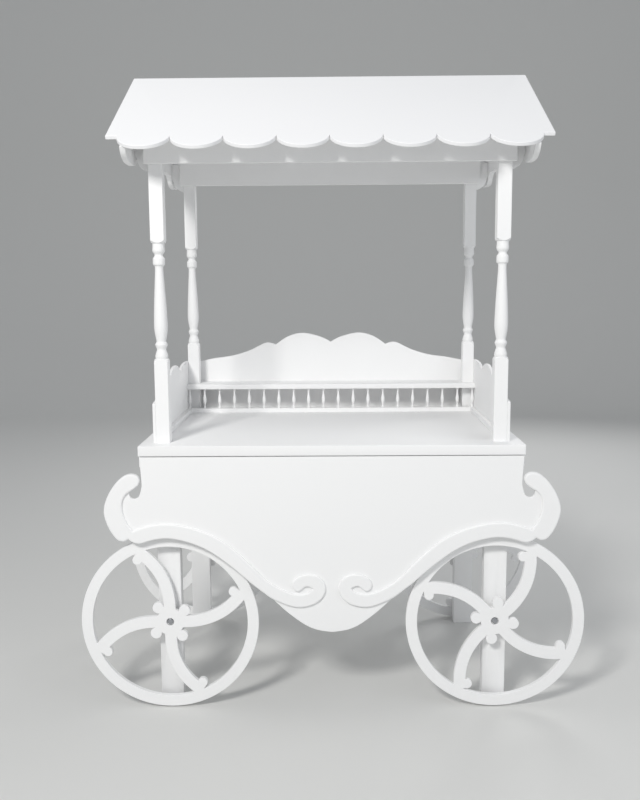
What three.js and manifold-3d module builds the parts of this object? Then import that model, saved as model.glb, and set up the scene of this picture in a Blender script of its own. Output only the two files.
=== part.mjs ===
// Candy buffet cart in painted board: a counter on four legs, with four decorative wheels on hub
// bolts, a scrolled front and rear, a raised gallery shelf, and a scalloped gable roof on turned posts.
// Millimetres, +Z up, +X to the right and +Y away from the front. The origin is on the ground, under
// the centre of the cart.
import * as THREE from "three";
import { mergeVertices } from "three/addons/utils/BufferGeometryUtils.js";
import Module from "manifold-3d";

const wasm = await Module();
wasm.setup();

// Driving dimensions
const TOUCH_GAP = 0.3;
const CUT_OVERRUN = 20;
const MERGE_DISTANCE = 0.001;

const COUNTER_HALF_WIDTH = 634;
const COUNTER_HALF_DEPTH = 440;
const COUNTER_TOP = 912;
const COUNTER_THICKNESS = 34;

const LEG_WIDTH = 76;
const LEG_DEPTH = 45;
const LEG_INSET = 44;

const FRONT_END_INSET = 3;
const FRONT_INSET = 5;
const FRONT_THICKNESS = 12;
const SCROLL_THICKNESS = 9;
const SCROLL_OVERHANG = 119;
const SCROLL_DISTANCE_BELOW_COUNTER = 59;

const RAIL_HEIGHT = 40;
const FRONT_RAIL_THICKNESS = 42;
const SIDE_APRON_THICKNESS = 12;
const SIDE_APRON_HEIGHT = 180;

const WHEEL_RADIUS = 300;
const WHEEL_RIM = 38;
const WHEEL_THICKNESS = 18;
const WHEEL_OFFSET = 4;
const WHEEL_PANEL_GAP = 6;
const WHEEL_GROUND_GAP = 4;
const SPOKE_WIDTH = 40;
const SPOKE_BEND_INSET = 74;
const SPOKE_BEND = THREE.MathUtils.degToRad(56);
const SPOKE_COUNT = 4;
const HUB_RADIUS = 47;
const HUB_TO_SPOKE_BEND = 13;
const KNOB_RADIUS = 19;
const HUB_TO_KNOB_CENTRE = 16;
const KNOB_LEAD = THREE.MathUtils.degToRad(38);
const RIM_KNOB_RADIUS = 16;
const RIM_KNOB_INSET = 60;
const RIM_KNOB_LEAD = THREE.MathUtils.degToRad(25);
// How far each wheel is turned, in degrees, as it stands
const WHEEL_TURNS = { front_left: 1, front_right: 43, rear_left: 20, rear_right: -15 };

const BOLT_DIAMETER = 12;
const BOLT_HEAD_ACROSS = 18;
const BOLT_HEAD_THICKNESS = 7;
const BOLT_GRIP_IN_LEG = 32;
const RECESS_DIAMETER = 26;
const RECESS_DEPTH = 10;
const SPACER_DIAMETER = 36;

const POST_SIZE = 45;
const POST_INSET = 51.5;
const POST_LOWER_BLOCK = 280;
const POST_TURNING = 378;
const POST_UPPER_BLOCK = 248;
// Width of a block's sloping shoulder, as a share of its half size
const BLOCK_SHOULDER_SHARE = 0.3;

const SIDE_BOARD_THICKNESS = 10;
const SIDE_BOARD_HEIGHT = 218;
const BACK_BOARD_THICKNESS = 16;
const BACK_BOARD_INSET = 12;
const BACK_BOARD_HEIGHT = 315;
const SHELF_HEIGHT = 116;
const SHELF_THICKNESS = 20;
const SHELF_DEPTH = 122;
const GALLERY_RAIL_HEIGHT = 18;
const GALLERY_RAIL_DEPTH = 36;
const SPINDLE_COUNT = 20;
const SPINDLE_END_INSET = 8.7;
const SPINDLE_DIAMETER = 14;
const SKIRTING_SIZE = 18;

const ROOF_END_OVERHANG = 113.5;
const ROOF_EAVE_OVERHANG = 89;
const ROOF_RISE = 271;
const ROOF_BEAM_GAP = 5.2;
const ROOF_THICKNESS = 12;
const SCALLOP_COUNT = 8;
const SCALLOP_END_WIDTH = 36;
const SCALLOP_DROP = 80;

const BEAM_HEIGHT = 96;
const BEAM_THICKNESS = 16;
const BEAM_OVERHANG = 11.5;
const GABLE_RAIL_THICKNESS = 18;
const GABLE_RAIL_DROP = 4;
const GABLE_RAIL_HEIGHT = 91;
const GABLE_RAIL_OVERHANG = 124;
const GABLE_RAIL_END_LENGTH = 80;
const GABLE_STEP_HEIGHT = 42;
const GABLE_THICKNESS = 12;
const BRACKET_THICKNESS = 18;
const BRACKET_DROP = 23;
const BRACKET_REACH = 44;
const BRACKET_HEIGHT = 106;
const RIDGE_BEAM_WIDTH = 40;
const RIDGE_BEAM_HEIGHT = 45;

// Dimensions that follow from them
const COUNTER_UNDERSIDE = COUNTER_TOP - COUNTER_THICKNESS;
const FRONT_HALF_WIDTH = COUNTER_HALF_WIDTH - FRONT_END_INSET;
const FRONT_FACE_Y = COUNTER_HALF_DEPTH - FRONT_INSET;
const FRONT_BACK_Y = FRONT_FACE_Y - FRONT_THICKNESS;
const SCROLL_REACH = COUNTER_HALF_WIDTH + SCROLL_OVERHANG;
const SCROLL_TOP = COUNTER_UNDERSIDE - SCROLL_DISTANCE_BELOW_COUNTER;
const LEG_OUTER_X = COUNTER_HALF_WIDTH - LEG_INSET;
const LEG_CENTRE_X = LEG_OUTER_X - LEG_WIDTH / 2;
const LEG_FACE_Y = FRONT_BACK_Y - FRONT_RAIL_THICKNESS;
const WHEEL_CENTRE_X = LEG_CENTRE_X - WHEEL_OFFSET;
const WHEEL_FACE_Y = FRONT_BACK_Y - WHEEL_PANEL_GAP;
const WHEEL_CENTRE_Z = WHEEL_RADIUS + WHEEL_GROUND_GAP;
const SPOKE_START = HUB_RADIUS + HUB_TO_SPOKE_BEND;
const SPOKE_BEND_RADIUS = WHEEL_RADIUS - SPOKE_BEND_INSET;
const KNOB_ORBIT = HUB_RADIUS + HUB_TO_KNOB_CENTRE;
const RIM_KNOB_ORBIT = WHEEL_RADIUS - RIM_KNOB_INSET;
const BORE_DIAMETER = BOLT_DIAMETER + 2 * TOUCH_GAP;
const POST_OUTER_X = COUNTER_HALF_WIDTH - POST_INSET;
const POST_CENTRE_X = POST_OUTER_X - POST_SIZE / 2;
const POST_FACE_Y = LEG_FACE_Y;
const POST_CENTRE_Y = POST_FACE_Y - POST_SIZE / 2;
const POST_INNER_Y = POST_FACE_Y - POST_SIZE;
const BACK_BOARD_BACK_Y = COUNTER_HALF_DEPTH - BACK_BOARD_INSET;
const BACK_BOARD_FRONT_Y = BACK_BOARD_BACK_Y - BACK_BOARD_THICKNESS;
const SIDE_BOARD_OUTER_X = POST_OUTER_X + SIDE_BOARD_THICKNESS;
const SHELF_TOP = COUNTER_TOP + SHELF_HEIGHT;
const SHELF_FRONT_Y = BACK_BOARD_FRONT_Y - SHELF_DEPTH;
const SPINDLE_PITCH = (2 * (POST_OUTER_X - SPINDLE_END_INSET)) / (SPINDLE_COUNT - 1);
const BEAM_BOTTOM = COUNTER_TOP + POST_LOWER_BLOCK + POST_TURNING + POST_UPPER_BLOCK;
const POST_TOP = BEAM_BOTTOM + BEAM_HEIGHT;
const BEAM_HALF_LENGTH = POST_OUTER_X + BEAM_OVERHANG;
const BEAM_FACE_Y = POST_FACE_Y + BEAM_THICKNESS;
const GABLE_RAIL_INNER_X = POST_OUTER_X + BRACKET_REACH;
const GABLE_RAIL_OUTER_X = GABLE_RAIL_INNER_X + GABLE_RAIL_THICKNESS;
const GABLE_RAIL_BOTTOM = BEAM_BOTTOM - GABLE_RAIL_DROP;
const BRACKET_BOTTOM = BEAM_BOTTOM - BRACKET_DROP;
const ROOF_HALF_WIDTH = POST_OUTER_X + ROOF_END_OVERHANG;
const ROOF_EAVE_Y = POST_FACE_Y + ROOF_EAVE_OVERHANG;
const ROOF_SLOPE = Math.atan2(ROOF_RISE, ROOF_EAVE_Y);
// The roof boards pass just over the outer top edges of the beams
const ROOF_UNDER_RIDGE_Z = POST_TOP + ROOF_BEAM_GAP + BEAM_FACE_Y * Math.tan(ROOF_SLOPE);
const ROOF_RIDGE_Z = ROOF_UNDER_RIDGE_Z + ROOF_THICKNESS / Math.cos(ROOF_SLOPE);
const SCALLOP_PITCH = (2 * (ROOF_HALF_WIDTH - SCALLOP_END_WIDTH)) / SCALLOP_COUNT;

// Segments of the round shapes
const ROUND_STEPS = 12;
const BOLT_HEAD_SIDES = 6;
const RIM_STEPS = 24;
const SPOKE_STEPS = 8;
const POST_STEPS = 10;
const SPINDLE_STEPS = 8;
const SCALLOP_STEPS = 12;
const SPLINE_STEPS = 2;

const group = new THREE.Group();

const FINISH = {
  board: { color: 0xf1f1f0, roughness: 0.45, metalness: 0 },
  roof: { color: 0xf5f6f7, roughness: 0.5, metalness: 0 },
  turned: { color: 0xf3f3f2, roughness: 0.4, metalness: 0 },
  steel: { color: 0x6c7074, roughness: 0.4, metalness: 0.9 },
};

// Adds a named piece in one of the finishes.
function addPiece(name, geometry, finish) {
  const mesh = new THREE.Mesh(geometry, new THREE.MeshStandardMaterial(FINISH[finish]));
  mesh.name = name;
  group.add(mesh);
  return mesh;
}

// A closed geometry as a solid that can be joined and cut.
function toSolid(geometry) {
  const bare = new THREE.BufferGeometry();
  const source = geometry.index ? geometry.toNonIndexed() : geometry;
  bare.setAttribute("position", source.getAttribute("position").clone());
  const merged = mergeVertices(bare, MERGE_DISTANCE);
  const vertProperties = new Float32Array(merged.attributes.position.array);
  const triVerts = new Uint32Array(merged.index.array);
  return new wasm.Manifold(new wasm.Mesh({ numProp: 3, vertProperties, triVerts }));
}

function toGeometry(solid) {
  const mesh = solid.getMesh();
  const geometry = new THREE.BufferGeometry();
  geometry.setAttribute("position", new THREE.BufferAttribute(mesh.vertProperties, 3));
  geometry.setIndex(new THREE.BufferAttribute(mesh.triVerts, 1));
  geometry.computeVertexNormals();
  return geometry;
}

const join = (...parts) => toGeometry(parts.map(toSolid).reduce((a, b) => a.add(b)));
const cut = (body, ...tools) =>
  toGeometry(tools.map(toSolid).reduce((a, b) => a.subtract(b), toSolid(body)));
const common = (a, b) => toGeometry(toSolid(a).intersect(toSolid(b)));

// A box between two corners.
function block(x0, x1, y0, y1, z0, z1) {
  const box = new THREE.BoxGeometry(x1 - x0, y1 - y0, z1 - z0);
  return box.translate((x0 + x1) / 2, (y0 + y1) / 2, (z0 + z1) / 2);
}

// A board that lies in the XZ plane: an outline of [x, z] points, from y0 to y1.
function uprightBoard(points, y0, y1) {
  const shape = new THREE.Shape(points.map(([x, z]) => new THREE.Vector2(x, z)));
  const board = new THREE.ExtrudeGeometry(shape, { depth: y1 - y0, bevelEnabled: false });
  return board.rotateX(Math.PI / 2).translate(0, y1, 0);
}

// A board that lies in the YZ plane: an outline of [y, z] points, from x0 to x1.
function sideBoard(points, x0, x1) {
  const shape = new THREE.Shape(points.map(([y, z]) => new THREE.Vector2(y, z)));
  const board = new THREE.ExtrudeGeometry(shape, { depth: x1 - x0, bevelEnabled: false });
  return board.rotateY(Math.PI / 2).rotateX(Math.PI / 2).translate(x0, 0, 0);
}

// A round bar along Y, from y0 to y1.
function barAlongY(radius, x, z, y0, y1, steps = ROUND_STEPS) {
  const bar = new THREE.CylinderGeometry(radius, radius, y1 - y0, steps);
  return bar.translate(x, (y0 + y1) / 2, z);
}

// The points of a smooth line through the given places.
function smooth(points, steps = SPLINE_STEPS) {
  const curve = new THREE.SplineCurve(points.map(([x, z]) => new THREE.Vector2(x, z)));
  return curve.getPoints((points.length - 1) * steps).map((p) => [p.x, p.y]);
}

// Places given as shares of a width and a height.
const scaled = (shares, width, height) => shares.map(([x, z]) => [x * width, z * height]);
const mirrored = (points) => points.map(([x, z]) => [-x, z]).reverse();
const withoutFirst = (points) => points.slice(1);

// Turns a piece of the front round to the rear.
const turnedAbout = (geometry) => geometry.clone().rotateZ(Math.PI);

// Outline of the scroll, right half, as shares of its reach from the middle and of its top's height
const HEAD_UNDERSIDE_SHARES = [
  [0.889, 0.926],
  [0.867, 0.938],
  [0.845, 0.955],
];
const HEAD_AND_CURL_SHARES = [
  [0.845, 0.955],
  [0.838, 0.975],
  [0.849, 0.993],
  [0.876, 1],
  [0.906, 0.993],
  [0.938, 0.969],
  [0.97, 0.929],
  [0.992, 0.885],
  [1, 0.843],
  [0.99, 0.801],
  [0.972, 0.763],
  [0.948, 0.733],
  [0.931, 0.724],
  [0.913, 0.723],
  [0.896, 0.732],
];
const TOOTH_SHARES = [
  [0.896, 0.732],
  [0.877, 0.719],
  [0.854, 0.713],
  [0.834, 0.715],
];
const ARCH_UNDERSIDE_SHARES = [
  [0.834, 0.715],
  [0.787, 0.728],
  [0.733, 0.734],
  [0.676, 0.728],
  [0.602, 0.708],
  [0.525, 0.671],
  [0.434, 0.607],
  [0.345, 0.535],
  [0.269, 0.481],
];
const VOLUTE_OUTSIDE_SHARES = [
  [0.269, 0.481],
  [0.193, 0.45],
  [0.134, 0.443],
  [0.075, 0.458],
  [0.038, 0.49],
  [0.028, 0.525],
  [0.041, 0.557],
  [0.071, 0.577],
  [0.108, 0.583],
  [0.146, 0.574],
  [0.171, 0.555],
  [0.177, 0.532],
  [0.167, 0.515],
];
const VOLUTE_HOOK_SHARES = [
  [0.167, 0.515],
  [0.15, 0.509],
  [0.134, 0.518],
  [0.118, 0.53],
  [0.1, 0.529],
  [0.086, 0.522],
];
const ARCH_TOP_SHARES = [
  [0.086, 0.522],
  [0.102, 0.507],
  [0.14, 0.498],
  [0.185, 0.504],
  [0.225, 0.521],
  [0.29, 0.558],
  [0.374, 0.636],
  [0.481, 0.722],
  [0.602, 0.774],
  [0.72, 0.795],
  [0.8, 0.788],
  [0.876, 0.766],
];
const CURL_INSIDE_SHARES = [
  [0.876, 0.766],
  [0.899, 0.798],
  [0.915, 0.837],
  [0.919, 0.874],
  [0.909, 0.906],
  [0.889, 0.926],
];
const NOTCH_SHARES = [
  [0.831, 0.95],
  [0.836, 0.93],
  [0.847, 0.905],
  [0.868, 0.897],
  [0.883, 0.906],
  [0.889, 0.926],
];
const APRON_SHARES = [
  [0.269, 0.481],
  [0.209, 0.428],
  [0.128, 0.37],
  [0.066, 0.344],
  [0, 0.335],
];

const onScroll = (shares) => smooth(scaled(shares, SCROLL_REACH, SCROLL_TOP));

// The outer silhouette that panel and scroll share, from the notch round the head to the arch's end.
function sharedSilhouette() {
  return [
    ...onScroll(HEAD_UNDERSIDE_SHARES),
    ...withoutFirst(onScroll(HEAD_AND_CURL_SHARES)),
    ...withoutFirst(onScroll(TOOTH_SHARES)),
    ...withoutFirst(onScroll(ARCH_UNDERSIDE_SHARES)),
  ];
}

function frontPanel() {
  const half = [
    [FRONT_HALF_WIDTH, COUNTER_UNDERSIDE],
    ...onScroll(NOTCH_SHARES),
    ...withoutFirst(sharedSilhouette()),
    ...withoutFirst(onScroll(APRON_SHARES)),
  ];
  const outline = [...half, ...withoutFirst(mirrored(half))];
  return uprightBoard(outline, -FRONT_FACE_Y, -FRONT_BACK_Y);
}

function scroll() {
  const outline = [
    ...sharedSilhouette(),
    ...withoutFirst(onScroll(VOLUTE_OUTSIDE_SHARES)),
    ...withoutFirst(onScroll(VOLUTE_HOOK_SHARES)),
    ...withoutFirst(onScroll(ARCH_TOP_SHARES)),
    ...withoutFirst(onScroll(CURL_INSIDE_SHARES)).slice(0, -1),
  ];
  return uprightBoard(outline, -FRONT_FACE_Y - SCROLL_THICKNESS, -FRONT_FACE_Y);
}

function addFrontAndRear() {
  const panel = frontPanel();
  const right = scroll();
  const left = uprightMirror(right);
  addPiece("front_panel", panel, "board");
  addPiece("rear_panel", turnedAbout(panel), "board");
  addPiece("front_scroll_right", right, "board");
  addPiece("front_scroll_left", left, "board");
  addPiece("rear_scroll_left", turnedAbout(right), "board");
  addPiece("rear_scroll_right", turnedAbout(left), "board");
}

// The mirror image of a piece across the middle plane x = 0, with its faces still pointing out.
function uprightMirror(geometry) {
  const flipped = (geometry.index ? geometry.toNonIndexed() : geometry.clone()).scale(-1, 1, 1);
  const p = flipped.getAttribute("position");
  for (let i = 0; i < p.count; i += 3) {
    const [x, y, z] = [p.getX(i), p.getY(i), p.getZ(i)];
    p.setXYZ(i, p.getX(i + 1), p.getY(i + 1), p.getZ(i + 1));
    p.setXYZ(i + 1, x, y, z);
  }
  flipped.computeVertexNormals();
  return flipped;
}

// One spoke: straight out of the hub, then an arc that bends anticlockwise into the rim.
function spokeOutline() {
  const half = SPOKE_WIDTH / 2;
  const inside = [];
  const outside = [];
  for (let i = 0; i <= SPOKE_STEPS; i += 1) {
    const a = (SPOKE_BEND * i) / SPOKE_STEPS;
    const along = [Math.sin(a), -Math.cos(a)];
    inside.push([
      SPOKE_START + (SPOKE_BEND_RADIUS - half) * along[0],
      SPOKE_BEND_RADIUS + (SPOKE_BEND_RADIUS - half) * along[1],
    ]);
    outside.push([
      SPOKE_START + (SPOKE_BEND_RADIUS + half) * along[0],
      SPOKE_BEND_RADIUS + (SPOKE_BEND_RADIUS + half) * along[1],
    ]);
  }
  return [[0, half], [0, -half], ...outside, ...inside.reverse()];
}

// A wheel board round its own axis, with its front face at y = 0 and its back face behind it. Its
// spokes are turned anticlockwise by the given angle.
function wheelBoard(phase) {
  const depth = WHEEL_THICKNESS;
  const rim = new THREE.Shape().absarc(0, 0, WHEEL_RADIUS, 0, 2 * Math.PI);
  rim.holes.push(new THREE.Path().absarc(0, 0, WHEEL_RADIUS - WHEEL_RIM, 0, 2 * Math.PI, true));
  const ring = new THREE.ExtrudeGeometry(rim, {
    depth,
    bevelEnabled: false,
    curveSegments: RIM_STEPS,
  });
  const pieces = [ring.rotateX(Math.PI / 2).translate(0, depth, 0)];
  pieces.push(barAlongY(HUB_RADIUS, 0, 0, 0, depth));
  for (let i = 0; i < SPOKE_COUNT; i += 1) {
    const turn = phase + (2 * Math.PI * i) / SPOKE_COUNT;
    pieces.push(uprightBoard(spokeOutline(), 0, depth).rotateY(-turn));
    pieces.push(knob(KNOB_RADIUS, KNOB_ORBIT, turn + KNOB_LEAD, depth));
    pieces.push(knob(RIM_KNOB_RADIUS, RIM_KNOB_ORBIT, turn + RIM_KNOB_LEAD, depth));
  }
  const bore = barAlongY(BORE_DIAMETER / 2, 0, 0, -CUT_OVERRUN, depth + CUT_OVERRUN);
  const recess = barAlongY(RECESS_DIAMETER / 2, 0, 0, -CUT_OVERRUN, RECESS_DEPTH);
  return cut(join(...pieces), recess, bore);
}

const knob = (radius, orbit, angle, depth) =>
  barAlongY(radius, orbit * Math.cos(angle), orbit * Math.sin(angle), 0, depth);

// The hub bolt of a wheel: its head sits in the recess and its shank ends inside the leg.
function hubBolt() {
  const headBack = RECESS_DEPTH - TOUCH_GAP;
  const headRadius = BOLT_HEAD_ACROSS / 2 / Math.cos(Math.PI / BOLT_HEAD_SIDES);
  const tip = WHEEL_FACE_Y - LEG_FACE_Y + BOLT_GRIP_IN_LEG;
  const headFront = headBack - BOLT_HEAD_THICKNESS;
  const head = barAlongY(headRadius, 0, 0, headFront, headBack, BOLT_HEAD_SIDES);
  return join(head, barAlongY(BOLT_DIAMETER / 2, 0, 0, headBack - BOLT_HEAD_THICKNESS / 2, tip));
}

function hubSpacer() {
  const front = WHEEL_THICKNESS + TOUCH_GAP;
  const back = WHEEL_FACE_Y - LEG_FACE_Y;
  const disc = barAlongY(SPACER_DIAMETER / 2, 0, 0, front, back);
  return cut(disc, barAlongY(BORE_DIAMETER / 2, 0, 0, front - CUT_OVERRUN, back + CUT_OVERRUN));
}

const isLeft = (corner) => corner.endsWith("left");
const isFront = (corner) => corner.startsWith("front");
const CORNERS = ["front_left", "front_right", "rear_left", "rear_right"];

// Moves a piece made at the hub, facing the front, to the hub of a corner.
function atHub(geometry, corner) {
  const side = isLeft(corner) ? -1 : 1;
  const placed = geometry.clone();
  if (!isFront(corner)) placed.rotateZ(Math.PI);
  const y = isFront(corner) ? -WHEEL_FACE_Y : WHEEL_FACE_Y;
  return placed.translate(side * WHEEL_CENTRE_X, y, WHEEL_CENTRE_Z);
}

function addWheels() {
  for (const corner of CORNERS) {
    const board = wheelBoard(THREE.MathUtils.degToRad(WHEEL_TURNS[corner]));
    addPiece(`wheel_${corner}`, atHub(board, corner), "board");
    addPiece(`hub_bolt_${corner}`, atHub(hubBolt(), corner), "steel");
    addPiece(`hub_spacer_${corner}`, atHub(hubSpacer(), corner), "steel");
  }
}

function addLegs() {
  for (const corner of CORNERS) {
    const side = isLeft(corner) ? -1 : 1;
    const end = isFront(corner) ? -1 : 1;
    const x = side * LEG_CENTRE_X;
    const faces = [end * LEG_FACE_Y, end * (LEG_FACE_Y - LEG_DEPTH)].sort((a, b) => a - b);
    const leg = block(x - LEG_WIDTH / 2, x + LEG_WIDTH / 2, ...faces, 0, COUNTER_UNDERSIDE);
    const start = end * (LEG_FACE_Y + CUT_OVERRUN);
    const stop = end * (LEG_FACE_Y - BOLT_GRIP_IN_LEG - TOUCH_GAP);
    const ends = [start, stop].sort((a, b) => a - b);
    const hole = barAlongY(BORE_DIAMETER / 2, side * WHEEL_CENTRE_X, WHEEL_CENTRE_Z, ...ends);
    addPiece(`leg_${corner}`, cut(leg, hole), "board");
  }
}

// Rails under the counter, and the aprons that close the sides between the legs.
function addFrame() {
  const bottom = COUNTER_UNDERSIDE - RAIL_HEIGHT;
  const reach = LEG_OUTER_X;
  const front = block(-reach, reach, -FRONT_BACK_Y, -LEG_FACE_Y, bottom, COUNTER_UNDERSIDE);
  addPiece("frame_rail_front", front, "board");
  addPiece("frame_rail_rear", turnedAbout(front), "board");
  const edge = COUNTER_HALF_WIDTH;
  const right = block(reach, edge, -FRONT_BACK_Y, FRONT_BACK_Y, bottom, COUNTER_UNDERSIDE);
  addPiece("frame_rail_right", right, "board");
  addPiece("frame_rail_left", turnedAbout(right), "board");
  const inner = LEG_FACE_Y - LEG_DEPTH;
  const low = COUNTER_UNDERSIDE - SIDE_APRON_HEIGHT;
  const apron = block(reach - SIDE_APRON_THICKNESS, reach, -inner, inner, low, COUNTER_UNDERSIDE);
  addPiece("side_apron_right", apron, "board");
  addPiece("side_apron_left", turnedAbout(apron), "board");
}

function addCounter() {
  const [x, y] = [COUNTER_HALF_WIDTH, COUNTER_HALF_DEPTH];
  addPiece("counter_top", block(-x, x, -y, y, COUNTER_UNDERSIDE, COUNTER_TOP), "board");
}

// Turned part of a post, as shares of its half size and of the turning's height, from below.
const POST_TURNING_SHARES = [
  [0.86, 0],
  [0.94, 0.026],
  [0.7, 0.075],
  [0.7, 0.09],
  [0.9, 0.124],
  [0.7, 0.15],
  [0.74, 0.17],
  [0.96, 0.25],
  [0.97, 0.34],
  [0.86, 0.5],
  [0.7, 0.66],
  [0.6, 0.79],
  [0.84, 0.815],
  [0.87, 0.847],
  [0.84, 0.87],
  [0.58, 0.897],
  [0.86, 0.925],
  [0.9, 0.947],
  [0.86, 0.972],
  [0.86, 1],
];

// A lathe-turned solid from [radius, height] points, closed on its axis at both ends.
function turned(points, steps) {
  const profile = points.map(([r, z]) => new THREE.Vector2(r, z));
  const first = new THREE.Vector2(0, points[0][1]);
  const last = new THREE.Vector2(0, points[points.length - 1][1]);
  return new THREE.LatheGeometry([first, ...profile, last], steps).rotateX(Math.PI / 2);
}

// A square block whose turned end has a sloping shoulder; the slope faces up or down.
function postBlock(z0, z1, shoulderAt) {
  const half = POST_SIZE / 2;
  const slope = half * BLOCK_SHOULDER_SHARE;
  const low = shoulderAt === "bottom";
  const cone = turned(
    low
      ? [[half, z0], [half + slope + z1 - z0, z1 + slope]]
      : [[half + slope + z1 - z0, z0 - slope], [half, z1]],
    POST_STEPS * 2,
  );
  return common(block(-half, half, -half, half, z0, z1), cone);
}

function post() {
  const half = POST_SIZE / 2;
  const turningBottom = COUNTER_TOP + POST_LOWER_BLOCK;
  const turningTop = turningBottom + POST_TURNING;
  const profile = scaled(POST_TURNING_SHARES, half, POST_TURNING);
  const overlap = half / 2;
  const turning = turned(
    [
      [profile[0][0], -overlap],
      ...withoutFirst(profile).slice(0, -1),
      [profile[profile.length - 1][0], POST_TURNING + overlap],
    ],
    POST_STEPS,
  ).translate(0, 0, turningBottom);
  return join(
    postBlock(COUNTER_TOP, turningBottom, "top"),
    turning,
    postBlock(turningTop, POST_TOP, "bottom"),
  );
}

function addPosts() {
  const shape = post();
  for (const corner of CORNERS) {
    const x = isLeft(corner) ? -POST_CENTRE_X : POST_CENTRE_X;
    const y = isFront(corner) ? -POST_CENTRE_Y : POST_CENTRE_Y;
    addPiece(`post_${corner}`, shape.clone().translate(x, y, 0), "turned");
  }
}

// Top edge of a side board, as shares of the posts' span from the front and of the board's height
const SIDE_BOARD_FRONT_SHARES = [
  [0, 0.59],
  [0.012, 0.615],
  [0.1, 0.65],
  [0.25, 0.74],
  [0.36, 0.835],
  [0.43, 0.95],
  [0.51, 1],
  [0.59, 0.975],
  [0.665, 0.86],
];
const SIDE_BOARD_REAR_SHARES = [
  [0.665, 0.86],
  [0.72, 0.92],
  [0.79, 0.955],
  [0.9, 0.955],
  [1, 0.915],
];

function addSideBoards() {
  const length = POST_FACE_Y + BACK_BOARD_FRONT_Y;
  const rise = (shares) =>
    smooth(scaled(shares, length, SIDE_BOARD_HEIGHT)).map(([y, z]) => [
      y - POST_FACE_Y,
      z + COUNTER_TOP,
    ]);
  const outline = [
    [BACK_BOARD_FRONT_Y, COUNTER_TOP],
    [-POST_FACE_Y, COUNTER_TOP],
    ...rise(SIDE_BOARD_FRONT_SHARES),
    ...withoutFirst(rise(SIDE_BOARD_REAR_SHARES)),
  ].reverse();
  const right = sideBoard(outline, POST_OUTER_X, SIDE_BOARD_OUTER_X);
  addPiece("side_board_right", right, "board");
  addPiece("side_board_left", uprightMirror(right), "board");
}

// Top edge of the back board's right half, from the middle, as shares of its half width and height
const BACK_HUMP_SHARES = [
  [0, 0.883],
  [0.045, 0.93],
  [0.096, 0.965],
  [0.18, 1],
  [0.25, 0.988],
  [0.32, 0.935],
  [0.384, 0.85],
];
const BACK_SLOPE_SHARES = [
  [0.384, 0.85],
  [0.428, 0.876],
  [0.472, 0.863],
  [0.565, 0.778],
  [0.686, 0.708],
  [0.815, 0.673],
  [0.916, 0.635],
  [1, 0.61],
];

function addBackBoard() {
  const halfWidth = SIDE_BOARD_OUTER_X;
  const edge = (shares) =>
    smooth(scaled(shares, halfWidth, BACK_BOARD_HEIGHT)).map(([x, z]) => [x, z + COUNTER_TOP]);
  const half = [
    ...edge(BACK_HUMP_SHARES),
    ...withoutFirst(edge(BACK_SLOPE_SHARES)),
    [halfWidth, COUNTER_TOP],
  ];
  const outline = [...mirrored(half), ...withoutFirst(half)].reverse();
  addPiece("back_board", uprightBoard(outline, BACK_BOARD_FRONT_Y, BACK_BOARD_BACK_Y), "board");
}

// The gallery: a shelf notched round the rear posts, on a row of spindles over a low rail.
const SPINDLE_SHARES = [
  [0.7, 0],
  [0.7, 0.08],
  [0.4, 0.14],
  [0.6, 0.24],
  [1, 0.42],
  [0.75, 0.6],
  [0.45, 0.82],
  [0.7, 0.9],
  [0.7, 1],
];

function addGallery() {
  const underside = SHELF_TOP - SHELF_THICKNESS;
  const reach = POST_OUTER_X;
  const board = block(-reach, reach, SHELF_FRONT_Y, BACK_BOARD_FRONT_Y, underside, SHELF_TOP);
  const notches = [-1, 1].map((side) => {
    const x = side * POST_CENTRE_X;
    const half = POST_SIZE / 2 + TOUCH_GAP;
    const y = [POST_CENTRE_Y - half, POST_CENTRE_Y + half];
    const z = [underside - CUT_OVERRUN, SHELF_TOP + CUT_OVERRUN];
    return block(x - half, x + half, ...y, ...z);
  });
  addPiece("gallery_shelf", cut(board, ...notches), "board");

  const railTop = COUNTER_TOP + GALLERY_RAIL_HEIGHT;
  const railBack = SHELF_FRONT_Y + GALLERY_RAIL_DEPTH;
  const rail = block(-reach, reach, SHELF_FRONT_Y, railBack, COUNTER_TOP, railTop);
  const height = underside - railTop;
  const sunk = GALLERY_RAIL_HEIGHT / 2;
  const profile = scaled(SPINDLE_SHARES, SPINDLE_DIAMETER / 2, height);
  const spindle = turned([[profile[0][0], -sunk], ...withoutFirst(profile)], SPINDLE_STEPS);
  const spindles = [];
  for (let i = 0; i < SPINDLE_COUNT; i += 1) {
    const x = (i - (SPINDLE_COUNT - 1) / 2) * SPINDLE_PITCH;
    const y = SHELF_FRONT_Y + GALLERY_RAIL_DEPTH / 2;
    spindles.push(spindle.clone().translate(x, y, railTop));
  }
  addPiece("gallery_balustrade", join(rail, ...spindles), "turned");
}

function addSkirtings() {
  const inner = POST_OUTER_X - SKIRTING_SIZE;
  const front = -(POST_FACE_Y - POST_SIZE);
  const top = COUNTER_TOP + SKIRTING_SIZE;
  const right = block(inner, POST_OUTER_X, front, SHELF_FRONT_Y, COUNTER_TOP, top);
  addPiece("skirting_right", right, "board");
  addPiece("skirting_left", uprightMirror(right), "board");
}

// Both beams stand on the front faces of their posts.
function addBeams() {
  const reach = BEAM_HALF_LENGTH;
  const front = block(-reach, reach, -BEAM_FACE_Y, -POST_FACE_Y, BEAM_BOTTOM, POST_TOP);
  addPiece("beam_front", front, "board");
  addPiece("beam_rear", front.clone().translate(0, POST_FACE_Y + POST_INNER_Y, 0), "board");
}

// Lower edge of a gable rail, as shares of the posts' half span and of the step's height
const GABLE_STEP_SHARES = [
  [0.72, 1],
  [0.78, 0.95],
  [0.82, 0.74],
  [0.85, 0.62],
  [0.88, 0.34],
  [0.93, 0.08],
  [0.99, 0],
];
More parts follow.
